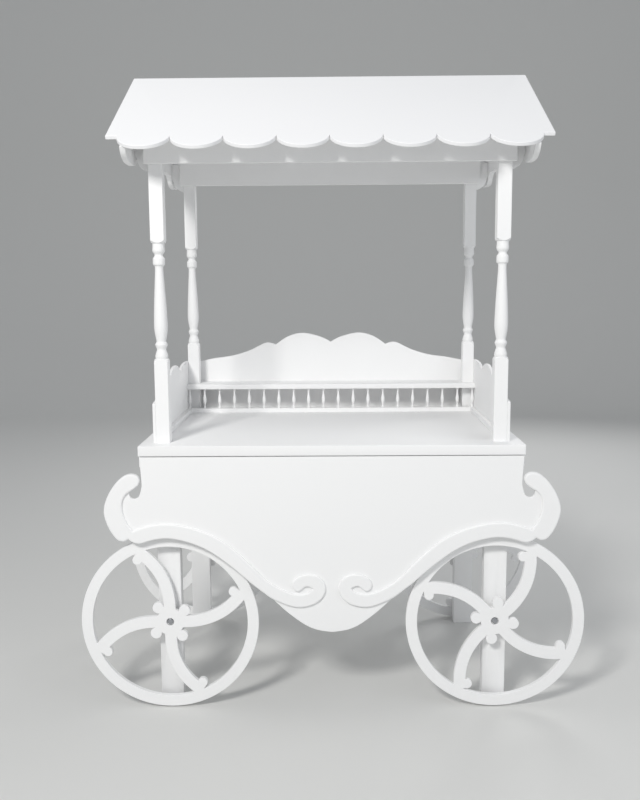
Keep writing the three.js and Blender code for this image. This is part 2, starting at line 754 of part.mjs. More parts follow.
// Rounded end of a gable rail under the eave, as shares of its length and height, from below
const GABLE_END_SHARES = [
  [0, 0],
  [0.32, 0.06],
  [0.62, 0.26],
  [0.85, 0.58],
  [1, 1],
];

function addGables() {
  const clear = TOUCH_GAP / Math.cos(ROOF_SLOPE);
  const apex = ROOF_UNDER_RIDGE_Z - clear;
  const top = GABLE_RAIL_BOTTOM + GABLE_RAIL_HEIGHT;
  // Where the rail's flat top meets the roof boards, and where its end meets them
  const half = (apex - top) / Math.tan(ROOF_SLOPE);
  const tip = POST_FACE_Y + GABLE_RAIL_OVERHANG;
  const endHeight = apex - tip * Math.tan(ROOF_SLOPE) - GABLE_RAIL_BOTTOM;
  const step = smooth(scaled(GABLE_STEP_SHARES, POST_FACE_Y, GABLE_STEP_HEIGHT));
  const end = smooth(scaled(GABLE_END_SHARES, GABLE_RAIL_END_LENGTH, endHeight)).map(([y, z]) => [
    y + tip - GABLE_RAIL_END_LENGTH,
    z,
  ]);
  const lower = [...step, ...end].map(([y, z]) => [y, z + GABLE_RAIL_BOTTOM]);
  const edge = [...lower, [half, top]];
  const rail = sideBoard([...mirrored(edge), ...edge], GABLE_RAIL_INNER_X, GABLE_RAIL_OUTER_X);
  addPiece("gable_rail_right", rail, "board");
  addPiece("gable_rail_left", turnedAbout(rail), "board");

  const triangle = [
    [-half, top],
    [half, top],
    [0, apex],
  ];
  const gable = sideBoard(triangle, GABLE_RAIL_OUTER_X - GABLE_THICKNESS, GABLE_RAIL_OUTER_X);
  addPiece("gable_panel_right", gable, "board");
  addPiece("gable_panel_left", turnedAbout(gable), "board");
}

// Lower edge of a bracket between a post and a gable rail, as shares of its reach and its height
const BRACKET_SHARES = [
  [0, 0],
  [0.3, 0.05],
  [0.6, 0.13],
  [0.76, 0.21],
  [0.85, 0.31],
  [0.92, 0.4],
  [1, 0.45],
];

function addBrackets() {
  const x0 = POST_OUTER_X;
  const curve = smooth(scaled(BRACKET_SHARES, BRACKET_REACH, BRACKET_HEIGHT)).map(([x, z]) => [
    x + x0,
    z + BRACKET_BOTTOM,
  ]);
  const top = BRACKET_BOTTOM + BRACKET_HEIGHT;
  const outline = [...curve, [x0 + BRACKET_REACH, top], [x0, top]];
  const front = uprightBoard(outline, -POST_INNER_Y - BRACKET_THICKNESS, -POST_INNER_Y);
  const frontLeft = uprightMirror(front);
  addPiece("bracket_front_right", front, "board");
  addPiece("bracket_front_left", frontLeft, "board");
  addPiece("bracket_rear_left", turnedAbout(front), "board");
  addPiece("bracket_rear_right", turnedAbout(frontLeft), "board");
}

// One roof board, drawn flat with the ridge at the top: its lower edge has scallops between flat ends.
function scallopedOutline() {
  const slopeLength = ROOF_EAVE_Y / Math.cos(ROOF_SLOPE);
  const half = SCALLOP_PITCH / 2;
  const radius = (half * half + SCALLOP_DROP * SCALLOP_DROP) / 2 / SCALLOP_DROP;
  const reachAngle = Math.asin(half / radius);
  const points = [
    [-ROOF_HALF_WIDTH, 0],
    [-ROOF_HALF_WIDTH, -slopeLength],
  ];
  for (let i = 0; i < SCALLOP_COUNT; i += 1) {
    const x = (i - (SCALLOP_COUNT - 1) / 2) * SCALLOP_PITCH;
    for (let j = i === 0 ? 0 : 1; j <= SCALLOP_STEPS; j += 1) {
      const a = reachAngle * ((2 * j) / SCALLOP_STEPS - 1);
      const down = radius * Math.cos(a) - (radius - SCALLOP_DROP);
      points.push([x + radius * Math.sin(a), -slopeLength - down]);
    }
  }
  return [...points, [ROOF_HALF_WIDTH, -slopeLength], [ROOF_HALF_WIDTH, 0]];
}

function frontRoofBoard() {
  const shape = new THREE.Shape(scallopedOutline().map(([x, s]) => new THREE.Vector2(x, s)));
  const flat = new THREE.ExtrudeGeometry(shape, { depth: ROOF_THICKNESS, bevelEnabled: false });
  flat.translate(0, ROOF_THICKNESS * Math.tan(ROOF_SLOPE), -ROOF_THICKNESS);
  flat.rotateX(ROOF_SLOPE).translate(0, 0, ROOF_RIDGE_Z);
  const reach = ROOF_HALF_WIDTH + CUT_OVERRUN;
  const behind = 2 * ROOF_THICKNESS;
  const heights = [ROOF_RIDGE_Z - 2 * behind, ROOF_RIDGE_Z + behind];
  return cut(flat, block(-reach, reach, -TOUCH_GAP / 2, behind, ...heights));
}

function addRoof() {
  const front = frontRoofBoard();
  addPiece("roof_front", front, "roof");
  addPiece("roof_rear", turnedAbout(front), "roof");

  const half = RIDGE_BEAM_WIDTH / 2;
  const apex = ROOF_UNDER_RIDGE_Z - TOUCH_GAP / Math.cos(ROOF_SLOPE);
  const shoulder = apex - half * Math.tan(ROOF_SLOPE);
  const low = apex - RIDGE_BEAM_HEIGHT;
  const section = [
    [-half, low],
    [half, low],
    [half, shoulder],
    [0, apex],
    [-half, shoulder],
  ];
  const reach = GABLE_RAIL_OUTER_X - GABLE_THICKNESS;
  addPiece("ridge_beam", sideBoard(section, -reach, reach), "board");
}

addLegs();
addFrame();
addWheels();
addFrontAndRear();
addCounter();
addPosts();
addSideBoards();
addBackBoard();
addGallery();
addSkirtings();
addBeams();
addGables();
addBrackets();
addRoof();

export default group;
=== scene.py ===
"""Dresses the candy buffet cart: painted boards with eased edges, scroll mouldings, board wheels,
turned posts and spindles, and a scalloped roof, in a plain studio."""

import math

import bmesh
import bpy
import numpy as np
from mathutils import Matrix, Vector, geometry


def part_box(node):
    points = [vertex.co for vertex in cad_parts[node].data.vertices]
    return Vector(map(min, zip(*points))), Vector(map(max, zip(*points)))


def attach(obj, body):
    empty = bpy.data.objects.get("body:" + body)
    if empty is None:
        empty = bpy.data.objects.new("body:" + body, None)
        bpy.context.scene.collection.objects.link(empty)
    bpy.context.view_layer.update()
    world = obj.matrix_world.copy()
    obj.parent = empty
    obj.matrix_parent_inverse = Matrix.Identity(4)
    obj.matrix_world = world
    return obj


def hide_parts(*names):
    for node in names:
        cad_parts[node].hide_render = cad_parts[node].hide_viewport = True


bl_info = {
    "name": "Candy buffet cart",
    "version": (1, 0, 0),
    "blender": (4, 5, 0),
    "location": "3D View > Sidebar > Cart",
    "description": "Builds the painted pieces of a candy buffet cart around its CAD frame",
    "category": "Object",
}

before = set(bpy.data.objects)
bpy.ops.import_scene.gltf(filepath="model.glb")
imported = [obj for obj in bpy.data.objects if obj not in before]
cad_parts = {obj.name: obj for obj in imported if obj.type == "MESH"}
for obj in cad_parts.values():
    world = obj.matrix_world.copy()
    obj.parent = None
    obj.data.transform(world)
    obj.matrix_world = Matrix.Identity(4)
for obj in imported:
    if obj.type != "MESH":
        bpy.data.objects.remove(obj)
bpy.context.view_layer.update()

MM = 0.001
CORNERS = ("front_left", "front_right", "rear_left", "rear_right")
SIDES = ("left", "right")
# A board seen from its good face: the directions of its width, its height and its thickness
FACING = {
    "front": Matrix(((1, 0, 0), (0, 0, -1), (0, 1, 0))),
    "rear": Matrix(((-1, 0, 0), (0, 0, 1), (0, 1, 0))),
    "side": Matrix(((0, 0, 1), (1, 0, 0), (0, 1, 0))),
}
# A turn of the outline sharper than this is a real corner, and anything softer belongs to a curve
CORNER_TURN = math.radians(42)
# An edge of an outline longer than this is straight, however soft the turns at its ends
STRAIGHT_EDGE = 150 * MM
# How many points go to a batch of distances, and how often the search for a ridge halves its room
BATCH = 400
HALVINGS = 12
# How finely round pieces are drawn: sides round them, and points or steps along them
RIM_SIDES, HUB_SIDES, KNOB_SIDES, RING_SIDES, SPINDLE_SIDES = 192, 64, 40, 48, 24
SPOKE_POINTS, SCALLOP_POINTS, SPINDLE_POINTS = 61, 49, 45
POST_STEPS, POST_FLAT_STEPS, POST_CORNER_STEPS, CONE_STEPS = 5, 14, 5, 4
FLOOR_STEPS = 16


def linear(code):
    """The linear colour of an sRGB hex code."""
    parts = [int(code[i : i + 2], 16) / 255 for i in (0, 2, 4)]
    return [p / 12.92 if p <= 0.04045 else ((p + 0.055) / 1.055) ** 2.4 for p in parts]


def add_node(tree, kind, inputs=None, **settings):
    """Adds a node, gives it its settings, and fills or links its inputs."""
    node = tree.nodes.new(kind)
    for name, value in settings.items():
        setattr(node, name, value)
    for key, value in (inputs or {}).items():
        if isinstance(value, bpy.types.NodeSocket):
            tree.links.new(value, node.inputs[key])
        else:
            node.inputs[key].default_value = value
    return node


# ---- sizes and colours that a user would change ----


class CartBoardSizes(bpy.types.PropertyGroup):
    board_ease: bpy.props.FloatProperty(
        name="Board ease",
        description="Radius of the sanded edges of the flat boards",
        default=1.6 * MM,
        unit="LENGTH",
    )
    frame_ease: bpy.props.FloatProperty(
        name="Frame ease",
        description="Radius of the sanded edges of legs, rails and beams",
        default=2.5 * MM,
        unit="LENGTH",
    )
    counter_ease: bpy.props.FloatProperty(
        name="Counter ease",
        description="Radius of the rounded edge of the counter",
        default=2.2 * MM,
        unit="LENGTH",
    )
    corner_ease: bpy.props.FloatProperty(
        name="Corner ease",
        description="Radius of the corners of a sawn outline",
        default=1.2 * MM,
        unit="LENGTH",
    )
    curve_step: bpy.props.FloatProperty(
        name="Curve step",
        description="Longest straight stretch along a curved edge",
        default=5 * MM,
        unit="LENGTH",
    )
    scroll_round_width: bpy.props.FloatProperty(
        name="Scroll round-over width",
        description="Width of the rounded edge of a scroll moulding",
        default=6 * MM,
        unit="LENGTH",
    )
    scroll_round_drop: bpy.props.FloatProperty(
        name="Scroll round-over drop",
        description="Depth of the rounded edge of a scroll moulding",
        default=4.5 * MM,
        unit="LENGTH",
    )
    panel_reveal: bpy.props.FloatProperty(
        name="Panel reveal",
        description="Height of the shadow gap between the front or rear panel and the counter",
        default=3 * MM,
        unit="LENGTH",
    )
    scroll_groove: bpy.props.FloatProperty(
        name="Scroll groove",
        description="Width of the fine groove between a scroll moulding and its panel",
        default=1.2 * MM,
        unit="LENGTH",
    )


class CartWheelSizes(bpy.types.PropertyGroup):
    radius: bpy.props.FloatProperty(
        name="Wheel radius", description="Radius of a wheel", default=0.300, unit="LENGTH"
    )
    rim: bpy.props.FloatProperty(
        name="Rim width", description="Width of the rim", default=0.038, unit="LENGTH"
    )
    hub: bpy.props.FloatProperty(
        name="Hub radius", description="Radius of the hub disc", default=0.047, unit="LENGTH"
    )
    spokes: bpy.props.IntProperty(
        name="Spokes", description="Number of bent spokes", default=4, min=2
    )
    spoke_width: bpy.props.FloatProperty(
        name="Spoke width", description="Width of a spoke", default=0.040, unit="LENGTH"
    )
    spoke_start: bpy.props.FloatProperty(
        name="Bend start",
        description="Distance from the hub's centre at which a spoke starts to bend",
        default=0.060,
        unit="LENGTH",
    )
    bend_radius: bpy.props.FloatProperty(
        name="Bend radius", description="Radius of a spoke's bend", default=0.226, unit="LENGTH"
    )
    bend_angle: bpy.props.FloatProperty(
        name="Bend angle",
        description="How far a spoke bends on its way to the rim",
        default=math.radians(56),
        subtype="ANGLE",
    )
    knob: bpy.props.FloatProperty(
        name="Hub knob radius",
        description="Radius of a knob at the hub",
        default=0.019,
        unit="LENGTH",
    )
    knob_orbit: bpy.props.FloatProperty(
        name="Hub knob orbit",
        description="Distance of a hub knob from the wheel's centre",
        default=0.063,
        unit="LENGTH",
    )
    knob_lead: bpy.props.FloatProperty(
        name="Hub knob lead",
        description="Angle from a spoke to its hub knob",
        default=math.radians(38),
        subtype="ANGLE",
    )
    rim_knob: bpy.props.FloatProperty(
        name="Rim knob radius",
        description="Radius of a knob near the rim",
        default=0.016,
        unit="LENGTH",
    )
    rim_knob_orbit: bpy.props.FloatProperty(
        name="Rim knob orbit",
        description="Distance of a rim knob from the wheel's centre",
        default=0.240,
        unit="LENGTH",
    )
    rim_knob_lead: bpy.props.FloatProperty(
        name="Rim knob lead",
        description="Angle from a spoke to its rim knob",
        default=math.radians(25),
        subtype="ANGLE",
    )
    turns: bpy.props.FloatVectorProperty(
        name="Turns",
        description="Turn of the front left, front right, rear left and rear right wheel",
        default=[math.radians(t) for t in (1, 43, 20, -15)],
        size=4,
        subtype="EULER",
    )
    recess: bpy.props.FloatProperty(
        name="Recess radius",
        description="Radius of the recess round the bolt",
        default=0.013,
        unit="LENGTH",
    )
    recess_depth: bpy.props.FloatProperty(
        name="Recess depth",
        description="Depth of the recess round the bolt",
        default=0.010,
        unit="LENGTH",
    )
    bore: bpy.props.FloatProperty(
        name="Bore radius", description="Radius of the bore", default=0.0063, unit="LENGTH"
    )


class CartTurningSizes(bpy.types.PropertyGroup):
    lower_block: bpy.props.FloatProperty(
        name="Lower block",
        description="Height of a post's lower block",
        default=0.280,
        unit="LENGTH",
    )
    turning: bpy.props.FloatProperty(
        name="Turning", description="Height of a post's turned part", default=0.378, unit="LENGTH"
    )
    post_ease: bpy.props.FloatProperty(
        name="Post ease",
        description="Radius of a block's sanded edges",
        default=2 * MM,
        unit="LENGTH",
    )
    spindles: bpy.props.IntProperty(
        name="Spindles", description="Number of spindles under the shelf", default=20, min=2
    )
    spindle_pitch: bpy.props.FloatProperty(
        name="Spindle pitch", description="Distance between spindles", default=0.0604, unit="LENGTH"
    )
    spindle_radius: bpy.props.FloatProperty(
        name="Spindle radius",
        description="Radius of a spindle's belly",
        default=0.007,
        unit="LENGTH",
    )
    low_rail: bpy.props.FloatProperty(
        name="Low rail",
        description="Height of the rail under the spindles",
        default=0.018,
        unit="LENGTH",
    )


class CartRoofSizes(bpy.types.PropertyGroup):
    scallops: bpy.props.IntProperty(
        name="Scallops", description="Number of scallops along an eave", default=8, min=1
    )
    pitch: bpy.props.FloatProperty(
        name="Scallop pitch", description="Width of a scallop", default=0.165, unit="LENGTH"
    )
    drop: bpy.props.FloatProperty(
        name="Scallop drop", description="Depth of a scallop", default=0.080, unit="LENGTH"
    )
    thickness: bpy.props.FloatProperty(
        name="Board thickness",
        description="Thickness of a roof board",
        default=0.012,
        unit="LENGTH",
    )
    eave_reach: bpy.props.FloatProperty(
        name="Eave reach",
        description="Distance from the ridge's plane to the eave's straight line",
        default=0.470,
        unit="LENGTH",
    )
    rise: bpy.props.FloatProperty(
        name="Rise",
        description="Height of the ridge over the eave's line",
        default=0.271,
        unit="LENGTH",
    )
    ridge_gap: bpy.props.FloatProperty(
        name="Ridge gap",
        description="Gap between the two boards at the ridge",
        default=0.0003,
        unit="LENGTH",
    )


class CartFinishes(bpy.types.PropertyGroup):
    paint: bpy.props.FloatVectorProperty(
        name="Board paint",
        description="Colour of the paint on the boards",
        default=linear("EFEFF0"),
        subtype="COLOR",
    )
    paint_worn: bpy.props.FloatVectorProperty(
        name="Board paint, handled",
        description="Colour of the paint where it is a little duller",
        default=linear("E9E9E9"),
        subtype="COLOR",
    )
    roof: bpy.props.FloatVectorProperty(
        name="Roof paint",
        description="Colour of the paint on the roof",
        default=linear("F4F5F6"),
        subtype="COLOR",
    )
    turned: bpy.props.FloatVectorProperty(
        name="Turned wood paint",
        description="Colour of the paint on posts and spindles",
        default=linear("F1F1F1"),
        subtype="COLOR",
    )
    dust: bpy.props.FloatVectorProperty(
        name="Ground dust",
        description="Colour of the dust near the ground",
        default=linear("C9C5B8"),
        subtype="COLOR",
    )
    zinc: bpy.props.FloatVectorProperty(
        name="Zinc",
        description="Colour of the plated steel",
        default=linear("9A9DA1"),
        subtype="COLOR",
    )
    floor: bpy.props.FloatVectorProperty(
        name="Floor",
        description="Colour of the studio floor",
        default=linear("DEDEDC"),
        subtype="COLOR",
    )


SETTINGS = {
    "cart_boards": CartBoardSizes,
    "cart_wheels": CartWheelSizes,
    "cart_turnings": CartTurningSizes,
    "cart_roof": CartRoofSizes,
    "cart_finishes": CartFinishes,
}


# ---- finishes ----


def new_material(name):
    """An empty material with its shader and output, and Object coordinates in metres."""
    material = bpy.data.materials.new(name)
    material.use_nodes = True
    tree = material.node_tree
    tree.nodes.clear()
    shader = add_node(tree, "ShaderNodeBsdfPrincipled")
    add_node(tree, "ShaderNodeOutputMaterial", {"Surface": shader.outputs["BSDF"]})
    place = add_node(tree, "ShaderNodeTexCoord").outputs["Object"]
    return material, tree, shader, place


def with_ground_dust(tree, place, clean, dust, reach, strength):
    """Lays a thin, patchy film of dust over a colour, fading out at a height above the ground."""
    height = add_node(tree, "ShaderNodeSeparateXYZ", {"Vector": place}).outputs["Z"]
    patch = add_node(
        tree, "ShaderNodeTexNoise", {"Vector": place, "Scale": 1 / (35 * MM), "Detail": 5.0}
    ).outputs["Fac"]
    fade = add_node(
        tree,
        "ShaderNodeMapRange",
        {"Value": height, "From Min": 0.0, "From Max": reach, "To Min": strength, "To Max": 0.0},
        interpolation_type="SMOOTHSTEP",
    ).outputs["Result"]
    film = add_node(tree, "ShaderNodeMath", {0: fade, 1: patch}, operation="MULTIPLY").outputs[0]
    return add_node(
        tree,
        "ShaderNodeMix",
        {"Factor": film, "A": clean, "B": (*dust, 1)},
        data_type="RGBA",
    ).outputs["Result"]


def board_paint(name, colour, handled, dust, stipple_mm=1.6, stipple=0.10):
    """Satin acrylic paint rolled on MDF: an even white with a soft sheen, whose fine roller stipple
    only shows where light grazes it."""
    material, tree, shader, place = new_material(name)
    cloud = add_node(
        tree, "ShaderNodeTexNoise", {"Vector": place, "Scale": 1 / (220 * MM), "Detail": 3.0}
    ).outputs["Fac"]
    share = add_node(
        tree,
        "ShaderNodeMapRange",
        {"Value": cloud, "From Min": 0.35, "From Max": 0.7},
        interpolation_type="SMOOTHSTEP",
    ).outputs["Result"]
    coat = add_node(
        tree,
        "ShaderNodeMix",
        {"Factor": share, "A": (*colour, 1), "B": (*handled, 1)},
        data_type="RGBA",
    ).outputs["Result"]
    dusty = with_ground_dust(tree, place, coat, dust, reach=0.16, strength=0.5)
    tree.links.new(dusty, shader.inputs["Base Color"])
    sheen = add_node(
        tree,
        "ShaderNodeMapRange",
        {"Value": cloud, "From Min": 0.3, "From Max": 0.7, "To Min": 0.40, "To Max": 0.50},
    ).outputs["Result"]
    tree.links.new(sheen, shader.inputs["Roughness"])
    shader.inputs["IOR"].default_value = 1.47
    # Roller stipple is about a millimetre across
    grain = add_node(
        tree,
        "ShaderNodeTexNoise",
        {"Vector": place, "Scale": 1 / (stipple_mm * MM), "Detail": 2.0},
    ).outputs["Fac"]
    # The board under the paint is flat only to a few tenths of a millimetre over a hand's width
    sweep = add_node(
        tree, "ShaderNodeTexNoise", {"Vector": place, "Scale": 1 / (90 * MM), "Detail": 1.0}
    ).outputs["Fac"]
    fine = add_node(
        tree,
        "ShaderNodeBump",
        {"Height": grain, "Strength": stipple, "Distance": 0.12 * MM},
    ).outputs["Normal"]
    broad = add_node(
        tree,
        "ShaderNodeBump",
        {"Height": sweep, "Strength": 0.35, "Distance": 0.6 * MM, "Normal": fine},
    ).outputs["Normal"]
    tree.links.new(broad, shader.inputs["Normal"])
    return material


def turned_paint(name, colour, handled, dust):
    """Satin paint brushed on lathe-turned wood, with fine rings from the gouge under the paint."""
    material, tree, shader, place = new_material(name)
    rings = add_node(
        tree,
        "ShaderNodeTexWave",
        {
            "Vector": place,
            "Scale": 1 / (40 * MM),
            "Distortion": 1.5,
            "Detail": 2.0,
            "Detail Scale": 4.0,
        },
        wave_type="BANDS",
        bands_direction="Z",
    ).outputs["Fac"]
    cloud = add_node(
        tree, "ShaderNodeTexNoise", {"Vector": place, "Scale": 1 / (60 * MM), "Detail": 3.0}
    ).outputs["Fac"]
    share = add_node(
        tree, "ShaderNodeMapRange", {"Value": cloud, "From Min": 0.35, "From Max": 0.7}
    ).outputs["Result"]
    coat = add_node(
        tree,
        "ShaderNodeMix",
        {"Factor": share, "A": (*colour, 1), "B": (*handled, 1)},
        data_type="RGBA",
    ).outputs["Result"]
    dusty = with_ground_dust(tree, place, coat, dust, reach=0.16, strength=0.5)
    tree.links.new(dusty, shader.inputs["Base Color"])
    sheen = add_node(
        tree,
        "ShaderNodeMapRange",
        {"Value": cloud, "From Min": 0.3, "From Max": 0.7, "To Min": 0.34, "To Max": 0.44},
    ).outputs["Result"]
    tree.links.new(sheen, shader.inputs["Roughness"])
    shader.inputs["IOR"].default_value = 1.47
    bump = add_node(
        tree, "ShaderNodeBump", {"Height": rings, "Strength": 0.12, "Distance": 0.2 * MM}
    ).outputs["Normal"]
    tree.links.new(bump, shader.inputs["Normal"])
    return material


def zinc_steel(name, colour):
    """Zinc-plated steel, barrel plated: grey, half dull, with small crystal patches."""
    material, tree, shader, place = new_material(name)
    spangle = add_node(
        tree, "ShaderNodeTexVoronoi", {"Vector": place, "Scale": 1 / (2.5 * MM)}
    ).outputs["Color"]
    tint = add_node(
        tree,
        "ShaderNodeMix",
        {"Factor": 0.08, "A": (*colour, 1), "B": spangle},
        data_type="RGBA",
        blend_type="OVERLAY",
    ).outputs["Result"]
    tree.links.new(tint, shader.inputs["Base Color"])
    shader.inputs["Metallic"].default_value = 1.0
    patch = add_node(
        tree, "ShaderNodeTexNoise", {"Vector": place, "Scale": 1 / (4 * MM), "Detail": 3.0}
    ).outputs["Fac"]
    dull = add_node(
        tree,
        "ShaderNodeMapRange",
        {"Value": patch, "To Min": 0.28, "To Max": 0.48},
    ).outputs["Result"]
    tree.links.new(dull, shader.inputs["Roughness"])
    return material


def finish(name):
    """The material of a slot, made once."""
    if name in bpy.data.materials:
        return bpy.data.materials[name]
    colours = bpy.context.scene.cart_finishes
    if name == "painted_board":
        return board_paint(name, colours.paint, colours.paint_worn, colours.dust)
    if name == "painted_roof":
        return board_paint(name, colours.roof, colours.paint, colours.dust)
    if name == "turned_wood":
        return turned_paint(name, colours.turned, colours.paint_worn, colours.dust)
    return zinc_steel(name, colours.zinc)


# ---- outlines ----


def cad_copy(node):
    """A merged copy of a CAD node's mesh, with its flat faces made whole again."""
    mesh = bmesh.new()
    mesh.from_mesh(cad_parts[node].data)
    bmesh.ops.remove_doubles(mesh, verts=mesh.verts, dist=1e-6)
    bmesh.ops.dissolve_limit(
        mesh, angle_limit=math.radians(0.5), verts=mesh.verts, edges=mesh.edges
    )
    return mesh


def chained(edges):
    """Closed loops of points out of directed edges [(start, end), ...]."""
    following = dict(edges)
    loops = []
    while following:
        start, here = following.popitem()
        loop = [start]
        while here != start:
            loop.append(here)
            here = following.pop(here)
        loops.append(loop)
    return loops


def node_outline(node, basis):
    """The loops of a flat board's good face, in its own width and height, and its two depths."""
    mesh = cad_copy(node)
    flat = basis.transposed()
    normal = basis.col[2]
    points, edges, depths = {}, [], []
    for face in mesh.faces:
        depth = flat @ face.calc_center_median()
        if abs(face.normal.dot(normal)) > 0.99:
            depths.append(depth.z)
        if face.normal.dot(normal) > 0.99:
            for loop in face.loops:
                if loop.edge.link_faces[0].normal.dot(loop.edge.link_faces[1].normal) < 0.9:
                    a, b = loop.vert, loop.link_loop_next.vert
                    edges.append((a.index, b.index))
                    points[a.index] = (flat @ a.co).xy
    loops = [np.array([points[i] for i in loop]) for loop in chained(edges)]
    mesh.free()
    return loops, min(depths), max(depths)


def turns_of(points):
    """The signed turn at each point of a closed loop."""
    before = points - np.roll(points, 1, 0)
    after = np.roll(points, -1, 0) - points
    cross = before[:, 0] * after[:, 1] - before[:, 1] * after[:, 0]
    return np.arctan2(cross, (before * after).sum(1))


def without_repeats(points, least):
    """A closed loop with points closer than the least distance left out."""
    kept = [points[0]]
    for p in points[1:]:
        if np.linalg.norm(p - kept[-1]) > least:
            kept.append(p)
    if np.linalg.norm(kept[-1] - kept[0]) <= least:
        kept.pop()
    return np.array(kept)


def smoothed_stretch(points, step, closed):
    """A centripetal Catmull-Rom line through the points, in steps no longer than the given one."""
    n = len(points)
    if n == 2 and not closed:
        return [points[0]]
    if closed:
        at = lambda i: points[i % n]
    else:
        ends = {-1: 2 * points[0] - points[1], n: 2 * points[-1] - points[-2]}
        at = lambda i: ends[i] if i in ends else points[i]
    result = []
    for i in range(n if closed else n - 1):
        p = [at(i - 1), at(i), at(i + 1), at(i + 2)]
        knots = [0.0]
        for a, b in zip(p, p[1:]):
            knots.append(knots[-1] + max(np.linalg.norm(b - a), 1e-9) ** 0.5)
        length = np.linalg.norm(p[2] - p[1])
        for j in range(max(1, math.ceil(length / step))):
            t = knots[1] + (knots[2] - knots[1]) * j / max(1, math.ceil(length / step))
            line = p
            for spans in (((0, 1), (1, 2), (2, 3)), ((0, 2), (1, 3)), ((1, 2),)):
                line = [
                    (line[k] * (knots[b] - t) + line[k + 1] * (t - knots[a]))
                    / (knots[b] - knots[a])
                    for k, (a, b) in enumerate(spans)
                ]
            result.append(line[0])
    return result


def with_eased_corners(points, radius):
    """A closed loop whose sharp corners are replaced by small arcs."""
    turns = turns_of(points)
    n = len(points)
    result = []
    for i in range(n):
        here, turn = points[i], turns[i]
        if abs(turn) < CORNER_TURN:
            result.append(here)
            continue
        back, ahead = points[i - 1] - here, points[(i + 1) % n] - here
        room = 0.4 * min(np.linalg.norm(back), np.linalg.norm(ahead))
        cut = min(radius * math.tan(abs(turn) / 2), room)
        start = here + back / np.linalg.norm(back) * cut
        end = here + ahead / np.linalg.norm(ahead) * cut
        steps = 5
        for j in range(steps):
            t = j / (steps - 1)
            result.append((1 - t) ** 2 * start + 2 * t * (1 - t) * here + t * t * end)
    return np.array(result)


def refined(points, sizes):
    """An outline with its curves drawn finely and its sharp corners kept, then a little eased."""
    points = without_repeats(points, 0.4 * MM)
    long = np.linalg.norm(np.roll(points, -1, 0) - points, axis=1) > STRAIGHT_EDGE
    kept = (np.abs(turns_of(points)) > CORNER_TURN) | long | np.roll(long, 1)
    corners = [int(i) for i in np.flatnonzero(kept)]
    if not corners:
        return np.array(smoothed_stretch(points, sizes.curve_step, True))
    result = []
    for a, b in zip(corners, corners[1:] + [corners[0] + len(points)]):
        stretch = [points[i % len(points)] for i in range(a, b + 1)]
        result += smoothed_stretch(stretch, sizes.curve_step, False)
    return with_eased_corners(np.array(result), sizes.corner_ease)


# ---- boards ----


def distances(points, loops):
    """Distance of each point from the loops' nearest edge, and the way from that edge to it."""
    best = np.full(len(points), np.inf)
    way = np.zeros((len(points), 2))
    starts = np.concatenate(loops)
    ends = np.concatenate([np.roll(loop, -1, 0) for loop in loops])
    along = ends - starts
    squared = (along**2).sum(1)
    for first in range(0, len(points), BATCH):
        batch = slice(first, first + BATCH)
        some = points[batch, None, :]
        t = np.clip(((some - starts) * along).sum(2) / squared, 0, 1)
        off = some - (starts + t[..., None] * along)
        length = np.linalg.norm(off, axis=2)
        nearest = length.argmin(1)
        rows = np.arange(len(nearest))
        best[batch] = length[rows, nearest]
        way[batch] = off[rows, nearest]
    return best, way / np.maximum(best, 1e-12)[:, None]


def inside(points, loops):
    """Which points lie in the board: an odd number of edges to their right."""
    count = np.zeros(len(points), int)
    for loop in loops:
        a, b = loop, np.roll(loop, -1, 0)
        y = points[:, 1, None]
        crosses = (a[:, 1] > y) != (b[:, 1] > y)
        with np.errstate(divide="ignore", invalid="ignore"):
            x = a[:, 0] + (y - a[:, 1]) * (b[:, 0] - a[:, 0]) / (b[:, 1] - a[:, 1])
        count += (crosses & (points[:, 0, None] < x)).sum(1)
    return count % 2 == 1


def outward_of(loop):
    """The outward direction at each point of a loop whose board lies on its left."""
    edge = np.roll(loop, -1, 0) - loop
    side = np.stack([edge[:, 1], -edge[:, 0]], 1)
    both = side + np.roll(side, 1, 0)
    return both / np.linalg.norm(both, axis=1)[:, None]


def with_stops(loop, distance):
    """A loop with a point near each end of its long edges, which keeps their middles flat."""
    result = []
    for here, ahead in zip(loop, np.roll(loop, -1, 0)):
        result.append(here)
        length = np.linalg.norm(ahead - here)
        if length > 3 * distance:
            share = distance / length
            result += [here + (ahead - here) * t for t in (share, 1 - share)]
    return np.array(result)


def following_points(loops):
    """The number of the point after each point, with the loops' points counted in one row."""
    result, first = [], 0
    for loop in loops:
        n = len(loop)
        result += [first + (i + 1) % n for i in range(n)]
        first += n
    return result


def rounded_depth(distance, width, drop):
    """How far a rounded edge lies below its face, and its slope, at a distance from the outline."""
    share = np.clip(1 - distance / width, 0, 1)
    level = np.sqrt(np.maximum(1 - share**2, 1e-9))
    return drop * (1 - level), drop / width * share / level


